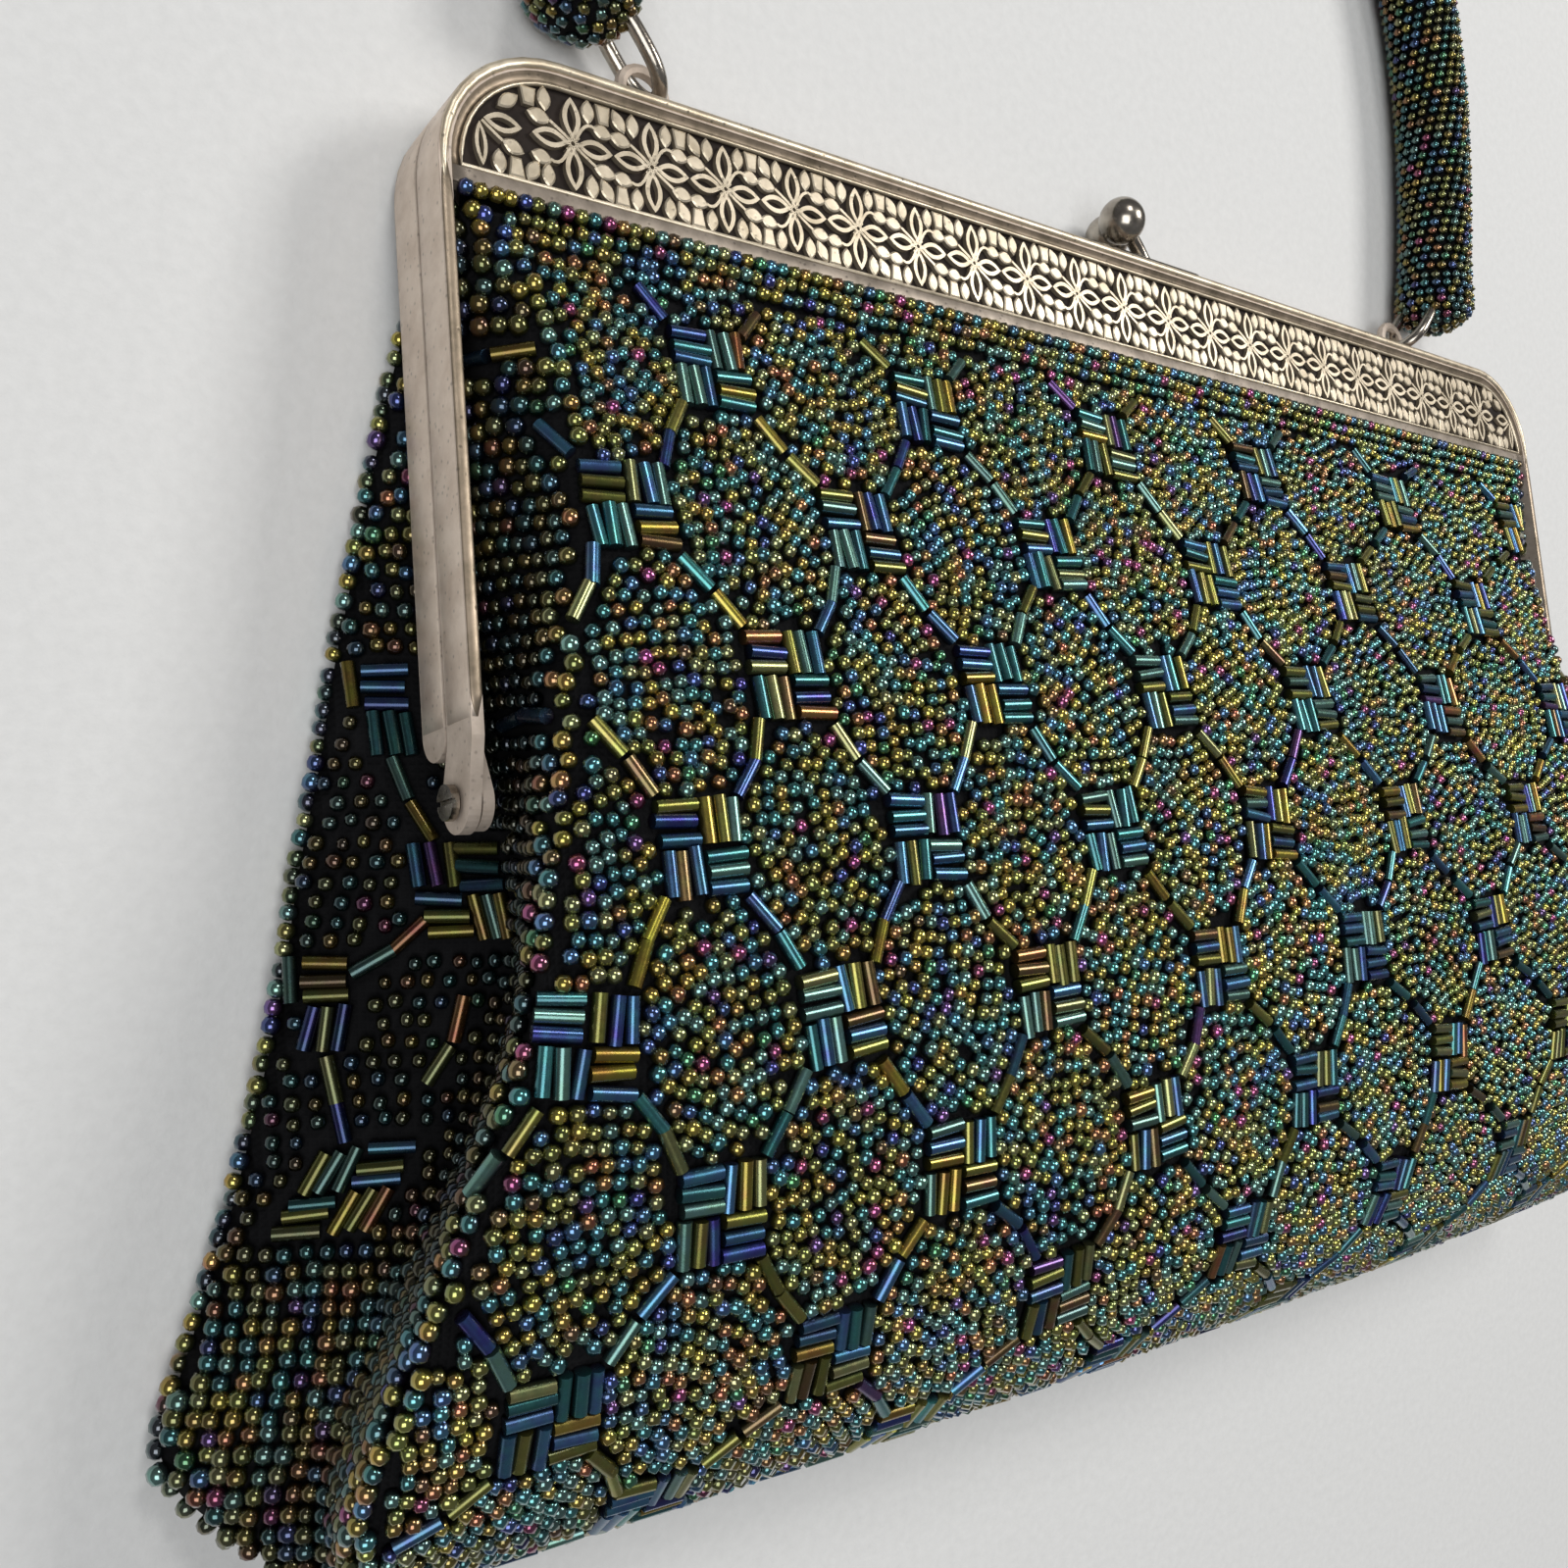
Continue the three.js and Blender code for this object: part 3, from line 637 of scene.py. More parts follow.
# %% the net on the front, bottom and back
COLUMN_PITCH = 15.5
NET_Y = (-22, -119.5)  # the first row of crossings, and one that lies so many rows lower
NET_ROWS = 6
FIRST_ROW = down_at(NET_Y[0])
ROW_PITCH = (down_at(NET_Y[1]) - FIRST_ROW) / NET_ROWS
ROWS_END = 26  # the last row lies at least so far before the back's upper edge
LAST_ROW = int((body_chart.down[-1] - ROWS_END - FIRST_ROW) / ROW_PITCH)
BLOCK_REACH = 4.75
BLOCK_BUGLES = 12
BLOCK_TURN = 0.05  # spread of a block's turn, in radians
BUGLE_TURN = 0.04
BUGLE_SHIFT = 0.12
GROUP_MIDDLE = 2.42
GROUP_STEP = 1.62
LINK_BEND = 0.9  # most that a link's middle is pushed aside
LINK_SKEW = 0.1


def block_pattern():
    """Middles and directions of a block's twelve bugles, in lengths across and down from its middle."""
    steps = np.array([-GROUP_STEP, 0, GROUP_STEP])
    middles = []
    directions = []
    for across, down, lies_across in ((-1, -1, True), (1, -1, False), (-1, 1, False), (1, 1, True)):
        offset = np.column_stack([0 * steps, steps]) if lies_across else np.column_stack([steps, 0 * steps])
        middles.append(offset + GROUP_MIDDLE * np.array([across, down]))
        directions.append(np.tile([1.0, 0.0] if lies_across else [0.0, 1.0], (3, 1)))
    return np.concatenate(middles), np.concatenate(directions)


def turned_by(vectors, angle):
    """Flat vectors turned by an angle each."""
    cos, sin = np.cos(angle), np.sin(angle)
    x, y = vectors[..., 0], vectors[..., 1]
    return np.stack([cos * x - sin * y, sin * x + cos * y], axis=-1)


def blocks_at(places):
    """The ends of every bugle of the blocks at the given places, each block and bugle a little askew."""
    middles, directions = block_pattern()
    count = len(places)
    whole = rng.normal(0, BLOCK_TURN, (count, 1))
    single = whole + rng.normal(0, BUGLE_TURN, (count, BLOCK_BUGLES))
    shifted = turned_by(np.tile(middles, (count, 1, 1)), whole)
    shifted = shifted + rng.normal(0, BUGLE_SHIFT, (count, BLOCK_BUGLES, 2))
    aimed = turned_by(np.tile(directions, (count, 1, 1)), single)
    centre = (places[:, None] + shifted).reshape(-1, 2)
    reach = BUGLE_HALF * aimed.reshape(-1, 2)
    return centre - reach, centre + reach


def links_between(start, end):
    """Two bugles from each start to its end, with the middle pushed a little to one side."""
    along = end - start
    square = unit(np.stack([-along[:, 1], along[:, 0]], axis=1))
    middle = (start + end) / 2 + square * rng.uniform(-LINK_BEND, LINK_BEND, (len(start), 1))
    first = np.concatenate([start, middle])
    last = np.concatenate([middle, end])
    centre = (first + last) / 2
    reach = unit(last - first) * BUGLE_HALF
    return centre - reach, centre + reach


# how far the sewn net lies from an even one, in mm at a net's half width or half height from its middle
HALF_NET = (100.0, 60.0)
NET_FADE = (150.0, 25.0)  # length down where the change has faded out, and over which it fades
NET_STRETCH = (5.5, 19.0)
NET_LEAN = 3.5
NET_BOW = 6.0
NET_FAN = 10.0
NET_DROP = 2.4
NET_SAG = 2.5


def as_sewn(even):
    """The even net as the hand laid it. With p the way across and q the way down, a place moves to the
    right by stretch p p + lean q + (bow + fan p) q q, and down by drop - p + sag q. The change fades out
    over the bottom fold."""
    p = np.clip(even[..., 0] / HALF_NET[0], -1.1, 1.1)
    q = np.clip((even[..., 1] - HALF_NET[1]) / HALF_NET[1], -1, 1.1)
    fade = np.clip((NET_FADE[0] - even[..., 1]) / NET_FADE[1], 0, 1)
    stretch = np.where(p > 0, NET_STRETCH[1], NET_STRETCH[0])
    across = stretch * p**2 + NET_LEAN * q + (NET_BOW + NET_FAN * p) * q**2
    down = NET_DROP - p + NET_SAG * q
    return even + fade[..., None] * np.stack([across, down], axis=-1)


row_number, column_number = np.meshgrid(np.arange(-2, LAST_ROW + 3), np.arange(-10, 11), indexing="ij")
even_net = np.stack([column_number * COLUMN_PITCH, FIRST_ROW + row_number * ROW_PITCH], axis=-1)
net = as_sewn(even_net)
is_crossing = (row_number + column_number) % 2 == 1
crossings = net[is_crossing]
around = [net[1:-1, :-2], net[:-2, 1:-1], net[1:-1, 2:], net[2:, 1:-1]]
cell_corners = np.stack([corner[~is_crossing[1:-1, 1:-1]] for corner in around], axis=1)
FRONT_END = (body_chart.down[-1] + body_chart.down[0]) / 2
BOTTOM_HALF = 14.0  # length from the bottom's middle to where the front begins
BACK_BARE = 9.0  # no bugles on this length below the back's upper edge
BLOCK_ROOM = {"over_edge": 1.5, "inside": 8.0, "margin": 5.6}
LINK_ROOM = {"over_edge": 5.0, "inside": 3.0, "margin": 3.2}


def on_cloth(places, over_edge, inside, margin):
    """Which places lie on the wrap: not more than so far over its side edges on the front, so far inside
    them on the bottom and the back, and a margin from the mouth's edges."""
    s, v = places.T
    reach = body_chart.limit(v) + np.where(v < FRONT_END - BOTTOM_HALF, over_edge, -inside)
    return (np.abs(s) < reach) & (v > margin) & (v < body_chart.down[-1] - BACK_BARE - margin)


block_places = crossings[on_cloth(crossings, **BLOCK_ROOM)]
block_a, block_b = blocks_at(block_places)
link_ends = []
for way in (-1, 1):
    upper = net[:-1, 1:-1][is_crossing[:-1, 1:-1]]
    lower = np.roll(net, -way, axis=1)[1:, 1:-1][is_crossing[:-1, 1:-1]]
    corner = np.array([way * (BLOCK_REACH - LINK_SKEW), BLOCK_REACH + LINK_SKEW])
    link_ends.append(links_between(upper + corner, lower - corner))
link_a, link_b = [np.concatenate(ends) for ends in zip(*link_ends)]
kept = on_cloth(link_a, **LINK_ROOM) & on_cloth(link_b, **LINK_ROOM)
bugle_a = np.concatenate([block_a, link_a[kept]])
bugle_b = np.concatenate([block_b, link_b[kept]])
print(len(block_places), "blocks,", len(bugle_a), "bugles, row pitch", round(ROW_PITCH, 2))

# %% bugle meshes on the wrap
BOTTOM_Y = -137  # the front ends and the bottom begins
FOLD_Y = SECTIONS[-1, 0]
BACK_MARGIN = 4
BOTTOM_DOWN = down_at(BOTTOM_Y)
BACK_DOWN = 2 * down_at(FOLD_Y + BEAD_LAYER) - BOTTOM_DOWN + BACK_MARGIN
BUGLE_GAP = 0.05  # between a bugle and the cloth
BUGLE_ROLL = 0.5
BUGLE_LENGTHS = (0.93, 1.03)
BUGLE_WIDTHS = (0.9, 1.05)
BUGLE_STRENGTH = 0.75


def lay_bugles(name, chart, ends_a, ends_b, shape, strength=BUGLE_STRENGTH):
    """Bugles between pairs of places on a chart, lying on the cloth. The edges round their two ends are
    sharp, so that the light runs along a bugle in a straight streak."""
    point_a, top_a = chart.place(*ends_a.T)
    point_b, top_b = chart.place(*ends_b.T)
    top = unit(top_a + top_b)
    centre = (point_a + point_b) / 2 + top * (BUGLE_RADIUS + BUGLE_GAP)
    count = len(centre)
    half = BUGLE_HALF * rng.uniform(*BUGLE_LENGTHS, count)
    radius = BUGLE_RADIUS * rng.uniform(*BUGLE_WIDTHS, count)
    along = point_b - point_a
    rolled = top + unit(np.cross(top, along)) * rng.uniform(-BUGLE_ROLL, BUGLE_ROLL, (count, 1))
    tints = strength * handful(count, BUGLE_SHARES)
    piece = scatter(name, shape, centre, along, rolled, half, radius, tints)
    mesh = piece.data
    edges = np.empty(2 * len(mesh.edges), np.int32)
    mesh.edges.foreach_get("vertices", edges)
    points_each = len(shape[0])
    at_end = edges.reshape(-1, 2) % points_each >= points_each // 2
    mesh.edges.foreach_set("use_edge_sharp", at_end[:, 0] == at_end[:, 1])
    mesh.materials.append(bugle_lustre)
    return piece


on_front = (bugle_a + bugle_b)[:, 1] / 2 < BACK_DOWN
front_bugles = lay_bugles("front_bugles", body_chart, bugle_a[on_front], bugle_b[on_front], BUGLE)
back_bugles = lay_bugles("back_bugles", body_chart, bugle_a[~on_front], bugle_b[~on_front], PLAIN_BUGLE)
print("front bugles", triangles(front_bugles), "back bugles", triangles(back_bugles))

# %% [markdown]
# ## Seed beads in the diamonds
# Inside each diamond the seed beads are sewn in short strings that curve, every diamond in its own
# direction. Rings round a middle that lies off the diamond give such rows: the rings are a bead's width
# apart, the beads on a ring a bead's length. Then the beads of a diamond push each other and the bugles
# away in a few small steps, as sewn beads do, and the ones left without room are taken out. Under the frame
# straight rows come first.

# %% seeds on the front, bottom and back
ROW_STEP = 1.68
BEAD_STEP = 1.56
SEED_APART = 1.64
SEED_CLEAR = 1.45
TOO_NEAR = 1.3
RIDGE_ROOM = 1.3  # kept free beside the row of seeds along the ridge
RIDGE_SCALE = 1.14
RIDGE_STEP = 1.85
RING_AWAY = (5, 24)  # how far the rings' middle may lie from the diamond's
CELL_REACH = 24  # the rings go on this far beyond the diamond's middle
CELL_INSET = 0.3
NEAR_BUGLES = 27  # bugles this near to a diamond's middle count
PUSH_STEPS = 12
SEED_PUSH = 0.3
BUGLE_PUSH = 0.4
LONGEST_PUSH = 0.3
SEED_STRAY = 0.36
ROW_STRAY = 0.1
FIRST_CLEAR = 1.0  # seeds nearer to a bugle than this are left out before the pushing
LAST_CLEAR = 1.25  # and nearer than this after it
FIELD_TOP = 3.5
FIELD_END = 12  # no seeds on this length below the back's upper edge
STRAIGHT_X = np.arange(-103, 103.1, 1.6)
STRAIGHT_DOWN = [0.5, 2.25]
STRAIGHT_OVER = 0.8  # the second straight row lies half a step over


def from_bugles(places, ends_a, ends_b):
    """Vectors from the nearest point of every bugle's middle line to every place, and their lengths."""
    along = (ends_b - ends_a)[None]
    offset = places[:, None] - ends_a[None]
    share = np.clip((offset * along).sum(-1) / (along**2).sum(-1), 0, 1)
    away = offset - share[..., None] * along
    return away, np.linalg.norm(away, axis=-1) + 1e-6


def clear_of(places, ends_a, ends_b, distance):
    """Which places are at least a distance from every bugle's middle line."""
    return (from_bugles(places, ends_a, ends_b)[1] > distance).all(axis=1)


def strings_in(corners):
    """Places and directions of one diamond's seeds: rings round a middle off to one side, inside the four
    lines between the diamond's corners."""
    cell = corners.mean(axis=0)
    away = rng.uniform(*RING_AWAY)
    angle = rng.uniform(0, 2 * np.pi)
    middle = cell + away * np.array([np.cos(angle), np.sin(angle)])
    radii = np.arange(rng.uniform(0.9, 1.6), away + CELL_REACH, ROW_STEP)
    count = np.floor(2 * np.pi * radii / BEAD_STEP).astype(int)
    index = np.arange(count.max())[None]
    turn = 2 * np.pi * (index + rng.uniform(0, 1, (len(radii), 1))) / count[:, None]
    used = np.broadcast_to(index < count[:, None], turn.shape)
    ring = np.stack([radii[:, None] * np.cos(turn), radii[:, None] * np.sin(turn)], axis=-1)[used]
    heading = np.stack([-np.sin(turn), np.cos(turn)], axis=-1)[used]
    places = middle + ring
    sides = unit(np.roll(corners, -1, axis=0) - corners)
    offset = places[:, None] - corners[None]
    within = (sides[:, 0] * offset[..., 1] - sides[:, 1] * offset[..., 0] > CELL_INSET).all(axis=1)
    return places[within], heading[within]


def spread_out(places, ends_a, ends_b):
    """Places moved in small steps: each is pushed from its neighbours and the bugles by part of what is
    missing to a bead's width."""
    for _ in range(PUSH_STEPS):
        gap = places[:, None] - places[None]
        apart = np.linalg.norm(gap, axis=-1) + 1e-6
        short = np.clip(SEED_APART - apart, 0, None)
        move = SEED_PUSH * (gap / apart[..., None] * short[..., None]).sum(axis=1)
        away, distance = from_bugles(places, ends_a, ends_b)
        short = np.clip(SEED_CLEAR - distance, 0, None)
        move += BUGLE_PUSH * (away / distance[..., None] * short[..., None]).sum(axis=1)
        places = places + np.clip(move, -LONGEST_PUSH, LONGEST_PUSH)
    return places


def roomy(places):
    """Which places are not too near to one that comes before them."""
    apart = np.linalg.norm(places[:, None] - places[None], axis=-1)
    return ~np.tril(apart < TOO_NEAR, -1).any(axis=1)


def seeds_in(corners):
    """A diamond's seeds that are on the cloth and clear of the bugles near it."""
    places, heading = strings_in(corners)
    places = places + rng.normal(0, SEED_STRAY, places.shape)
    near = np.abs((bugle_a + bugle_b) / 2 - corners.mean(axis=0)).max(axis=1) < NEAR_BUGLES
    ends_a, ends_b = bugle_a[near], bugle_b[near]
    keep = clear_of(places, ends_a, ends_b, FIRST_CLEAR)
    places, heading = places[keep], heading[keep]
    places = spread_out(places, ends_a, ends_b)
    keep = roomy(places) & clear_of(places, ends_a, ends_b, LAST_CLEAR)
    keep &= np.abs(places[:, 0]) < body_chart.limit(places[:, 1]) - RIDGE_ROOM
    keep &= (places[:, 1] > FIELD_TOP) & (places[:, 1] < body_chart.down[-1] - FIELD_END)
    return places[keep], heading[keep]


sown = [seeds_in(corners) for corners in cell_corners]
straight = np.stack(np.meshgrid(STRAIGHT_X, STRAIGHT_DOWN), axis=-1)
straight[1, :, 0] += STRAIGHT_OVER
straight = straight.reshape(-1, 2)
straight = straight + rng.normal(0, ROW_STRAY, straight.shape)
straight = straight[np.abs(straight[:, 0]) < body_chart.limit(straight[:, 1]) - RIDGE_ROOM]
ridge_v = np.arange(0.5, body_chart.down[-1] - FIELD_END, RIDGE_STEP)
ridge_s = body_chart.limit(ridge_v)
ridge = np.concatenate([np.column_stack([side * ridge_s, ridge_v]) for side in (-1, 1)])
ridge = ridge + rng.normal(0, ROW_STRAY, ridge.shape)
ridge = ridge[clear_of(ridge, bugle_a, bugle_b, LAST_CLEAR)]
seed_places = np.concatenate([straight] + [places for places, heading in sown])
straight_heading = np.tile([1.0, 0.0], (len(straight), 1))
ridge_heading = np.tile([0.0, 1.0], (len(ridge), 1))
seed_heading = np.concatenate([straight_heading] + [heading for places, heading in sown])
print(len(seed_places), "seeds on the wrap")

# %% seed meshes on the wrap
SEED_LIFT = 0.6  # height of a seed's middle over the cloth, in its size
AHEAD = 0.4  # length to both sides over which the cloth gives a seed's direction
SEED_STRENGTH = 0.92
SEED_TURN = 0.16  # spread of its direction on the cloth, in radians
SEED_NOD = 0.12  # and out of it
SEED_SIZES = (0.9, 1.08)
SEED_LENGTHS = (0.9, 1.1)
SEED_RISE = (-0.08, 0.1)


def lay_seeds(name, chart, places, heading, shape, scale=1.0, strength=SEED_STRENGTH):
    """Seed beads on a chart, each with its hole along its heading, sunk a little into the cloth."""
    count = len(places)
    aimed = turned_by(heading, rng.normal(0, SEED_TURN, count))
    centre, top = chart.place(*places.T)
    ahead, _ = chart.place(*(places + AHEAD * aimed).T)
    behind, _ = chart.place(*(places - AHEAD * aimed).T)
    axis = unit(ahead - behind) + top * rng.normal(0, SEED_NOD, (count, 1))
    size = scale * rng.uniform(*SEED_SIZES, count)
    centre = centre + top * (SEED_LIFT * size + rng.uniform(*SEED_RISE, count))[:, None]
    half = SEED_HALF * size * rng.uniform(*SEED_LENGTHS, count)
    tints = strength * handful(count, SEED_SHARES)
    piece = scatter(name, shape, centre, axis, top, half, SEED_RADIUS * size, tints)
    piece.data.materials.append(lustre)
    return piece


NEAR_SIDE = 25.0  # beads to the right of this length are far from the camera and get fewer faces
MIDDLE_Y = -72  # between the upper and the lower piece of the front
v = seed_places[:, 1]
middle_down = down_at(MIDDLE_Y)
near = seed_places[:, 0] < NEAR_SIDE
# painted light and shade: the seeds are darker at the left and on the bottom and brighter at the right,
# where the light comes from; the glass at the right is also greener
PAINTED_LIGHT_ACROSS = (-100, 100)
PAINTED_LIGHT_AND_TINT_ENDS = ((0.80, 1.12), (0.80, 1.26), (0.82, 1.13))  # red, green and blue at the left and at the right
PAINTED_SHADE_BOTTOM = 0.76
shade = np.column_stack([np.interp(seed_places[:, 0], PAINTED_LIGHT_ACROSS, ends) for ends in PAINTED_LIGHT_AND_TINT_ENDS])
shade[(v >= BOTTOM_DOWN) & (v < BACK_DOWN)] *= PAINTED_SHADE_BOTTOM
parts = {
    "front_seeds_upper": (near & (v < middle_down), SEED),
    "front_seeds_lower": (near & (v >= middle_down) & (v < BOTTOM_DOWN), SEED),
    "front_seeds_right": (~near & (v < BOTTOM_DOWN), FAR_SEED),
    "bottom_seeds": ((v >= BOTTOM_DOWN) & (v < BACK_DOWN), SEED),
    "back_seeds": (v >= BACK_DOWN, PLAIN_SEED),
}
for name, (chosen, shape) in parts.items():
    lay_seeds(name, body_chart, seed_places[chosen], seed_heading[chosen], shape,
                                 strength=shade[chosen])

lay_seeds("ridge_seeds", body_chart, ridge, ridge_heading, ROUND_SEED, RIDGE_SCALE)

# %% the row along the frame
STRIP_ROW = np.array([-8.3, 14.15])  # y and z of the beads against the frame's lower edge
STRIP_HALF = 104.4
STRIP_STEP = 1.62
edge_x = np.arange(-STRIP_HALF, STRIP_HALF + 0.1, STRIP_STEP)
edge_x = edge_x + rng.normal(0, ROW_STRAY, len(edge_x))
edge_centres = np.column_stack([edge_x, np.tile(STRIP_ROW, (len(edge_x), 1))])
edge_axes = np.array([1.0, 0, 0]) + rng.normal(0, SEED_NOD, edge_centres.shape)
edge_tops = np.tile([0, -0.3, 1.0], (len(edge_x), 1))
edge_seeds = scatter("edge_seeds", SEED, edge_centres, edge_axes, edge_tops, SEED_HALF, SEED_RADIUS,
                     handful(len(edge_x), SEED_SHARES))
edge_seeds.data.materials.append(lustre)
print("edge row", len(edge_x), "seeds")

# %% [markdown]
# ## The folded-in sides
# On the sides the seeds stand in plainer rows with more cloth between them, and the next row down is half a
# step over. Near the frame and at the foot they are larger and closer, and beside the ridge they are strung
# along it. The fold lies in shade, and this is painted: its beads and bugles are darker there, most of all
# in the middle of the side. Blocks of bugles sit along the fold and along the back edge, and two pairs of
# bugles lie across the fold near the frame's arms.

# %% bugles on the sides
SIDE_BLOCKS = ((-60, 0.88), (-78, 0.56), (-89, 0.93), (-107, 0.72))  # y, and the share of the way across
SIDE_LINKS = ((0, 1), (1, 2), (1, 3), (2, 3))  # pairs of blocks
SIDE_LINK_HALF = 4.7
FOLD_PAIRS = (-24, -61)  # y of the pairs across the fold
FOLD_START = 1.6  # from the ridge
FOLD_REACH = np.array([9.4, 0.6])
SIDE_MARGIN = 0.8
gusset_y = gusset[:, SIDE_COLUMNS // 2, 1]


def side_bugles(chart):
    """The ends of a side's bugles: its blocks, a link midway between two blocks, and the pairs across the
    fold, as far as they fit between the side's edges."""
    y_line, share_line = np.array(SIDE_BLOCKS).T
    depth = np.interp(-y_line, -gusset_y, chart.down)
    blocks = np.column_stack([share_line * chart.limit(depth), depth])
    block_ends = blocks_at(blocks)
    first, last = blocks[np.array(SIDE_LINKS)].transpose(1, 0, 2)
    middle = (first + last) / 2
    reach = unit(last - first) * SIDE_LINK_HALF
    joint_ends = links_between(middle - reach, middle + reach)
    pair_depth = np.interp(-np.array(FOLD_PAIRS), -gusset_y, chart.down)
    pair_start = np.column_stack([np.full(len(FOLD_PAIRS), FOLD_START), pair_depth])
    pair_ends = links_between(pair_start, pair_start + FOLD_REACH)
    ends_a, ends_b = [np.concatenate(ends) for ends in zip(block_ends, joint_ends, pair_ends)]
    limit = chart.limit((ends_a + ends_b)[:, 1] / 2) - SIDE_MARGIN
    fits = np.maximum(ends_a[:, 0], ends_b[:, 0]) < limit
    fits &= np.minimum(ends_a[:, 0], ends_b[:, 0]) > SIDE_MARGIN
    return ends_a[fits], ends_b[fits]


print(len(SIDE_BLOCKS), "blocks and", len(FOLD_PAIRS), "pairs of bugles on a side")

# %% seeds on the sides
# tables of a length down the side and a value there
SIDE_ROW = ((34, 50, 96, 108), (1.98, 1.98, 1.98, 1.8))  # the rows' distance
SIDE_STEP = ((34, 50, 96, 108), (1.74, 2.08, 2.08, 1.76))  # the seeds' distance
SIDE_SCALE = ((20, 50, 95, 118), (1.24, 0.98, 0.98, 1.2))
# painted shade: the sides' seeds are darkened down the middle of the side, where the fold is deepest, and
# the sides' bugles everywhere
SIDE_PAINTED_SHADE = ((25, 50, 100, 118), (0.62, 0.17, 0.2, 0.5))
SIDE_BUGLE_PAINTED_SHADE = 0.28
FOLD_SHADE = ((14, 24), (0.5, 1.0))  # length from the ridge, and the strength there
LIP_WIDTH = 4.2  # seeds this near to the ridge are strung along it
LIP_SCALE = 1.12
# painted light and shade: the first row along the ridge keeps more colour, the row behind it is darkened
LIP_PAINTED_SHADE = ((2.4, 3.2), (0.66, 0.3))  # length from the ridge, and the strength there
SIDE_SPAN = (0.3, 1.0)  # left free at the top and at the foot
SIDE_STRAY = 0.14
LIP_STRAY = 0.3  # most that a seed may stray towards the ridge
SIDE_COUNT = 40  # more than fit into any row
DEPTH_STEPS = 500
front_a, _ = body_chart.place(*bugle_a.T)
front_b, _ = body_chart.place(*bugle_b.T)


def side_places(chart, ends_a, ends_b):
    """A side's seeds in rows, clear of its own bugles and the front's. The rows' distance varies: a running
    sum of 1 / distance counts the rows, and a row lies wherever it reaches a whole number."""
    depths = np.linspace(SIDE_SPAN[0], chart.down[-1] - SIDE_SPAN[1], DEPTH_STEPS)
    row_count = np.cumsum(np.gradient(depths) / np.interp(depths, *SIDE_ROW))
    rows = np.interp(np.arange(row_count[0], row_count[-1]), row_count, depths)
    step = np.interp(rows, *SIDE_STEP)[:, None]
    odd = (np.arange(len(rows)) % 2)[:, None]
    over = RIDGE_ROOM + step * (np.arange(SIDE_COUNT)[None] + odd / 2)
    down = np.broadcast_to(rows[:, None], over.shape)
    places = np.column_stack([over.ravel(), down.ravel()]) + rng.normal(0, SIDE_STRAY, (over.size, 2))
    keep = places[:, 0] > RIDGE_ROOM - LIP_STRAY
    keep &= places[:, 0] < chart.limit(places[:, 1]) - RIDGE_ROOM
    keep &= clear_of(places, ends_a, ends_b, SEED_CLEAR)
    spots, _ = chart.place(*places.T)
    return places[keep & clear_of(spots, front_a, front_b, SEED_CLEAR)]


for word, chart in gusset_charts.items():
    ends_a, ends_b = side_bugles(chart)
    lay_bugles("side_bugles_" + word, chart, ends_a, ends_b, BUGLE, SIDE_BUGLE_PAINTED_SHADE)
    places = side_places(chart, ends_a, ends_b)
    from_ridge, depth = places.T
    on_lip = from_ridge < LIP_WIDTH
    heading = np.where(on_lip[:, None], [0.0, 1.0], [1.0, 0.0])
    scale = np.interp(depth, *SIDE_SCALE)
    scale = np.where(on_lip, np.maximum(scale, LIP_SCALE), scale)
    # painted shade on the side's seeds, from the tables above
    strength = np.interp(depth, *SIDE_PAINTED_SHADE) * np.interp(from_ridge, *FOLD_SHADE)
    strength = np.where(on_lip, np.interp(from_ridge, *LIP_PAINTED_SHADE), strength)[:, None]
    shape = ROUND_SEED if word == "left" else SEED
    lay_seeds("side_seeds_" + word, chart, places, heading, shape, scale, strength)
    print(word, "side", len(places), "seeds", len(ends_a), "bugles")

# %% [markdown]

# %% [markdown]
# ## The handle
# The handle is a stuffed cloth tube, arched from one end of the frame to the other, with beads sewn over it
# along one long thread that winds round and round. The core is a tube along the middle line: a circle
# carried along a path, drawn in to a round end. The beads follow the winding: their places are equal steps
# of length along a helix whose turns are a bead's length apart, which leaves the slanting rows of a beaded
# rope.

# %% handle path
HANDLE_RADIUS = 6.4
HANDLE_SPAN = 87.5  # x of a leg
HANDLE_END = 14.5  # y of the legs' ends
HANDLE_SHOULDER = 36.0  # y where the arch begins
HANDLE_TOP = 138.6
HANDLE_Z = 6.6
HANDLE_POINTS = 600
ARCH_POINTS = 400
KNOB = np.array([6.9, 4.8])  # radius and half length of a gathered end
KNOB_RUN = 4.0  # length over which the end runs into the tube
CORE_INSET = 1.15


def handle_line(count):
    """Points along the handle: a straight leg, half an ellipse and the other leg, evenly spread."""
    angle = np.linspace(np.pi, 0, ARCH_POINTS)
    arch = np.column_stack([HANDLE_SPAN * np.cos(angle),
                            HANDLE_SHOULDER + (HANDLE_TOP - HANDLE_SHOULDER) * np.sin(angle)])
    line = np.vstack([[-HANDLE_SPAN, HANDLE_END], arch, [HANDLE_SPAN, HANDLE_END]])
    even = resample(line, count)
    return np.column_stack([even, np.full(count, HANDLE_Z)])


def handle_width(along, length):
    """Radius of the handle: an ellipse at each gathered end that runs into the tube's own radius."""
    from_end = np.minimum(along, length - along)
    swell = HANDLE_RADIUS + (KNOB[0] - HANDLE_RADIUS) * np.exp(-((from_end - KNOB[1]) / KNOB_RUN) ** 2)
    rounding = np.sqrt(np.clip(1 - (1 - from_end / KNOB[1]) ** 2, 0, 1))
    return swell * np.where(from_end < KNOB[1], rounding, 1)


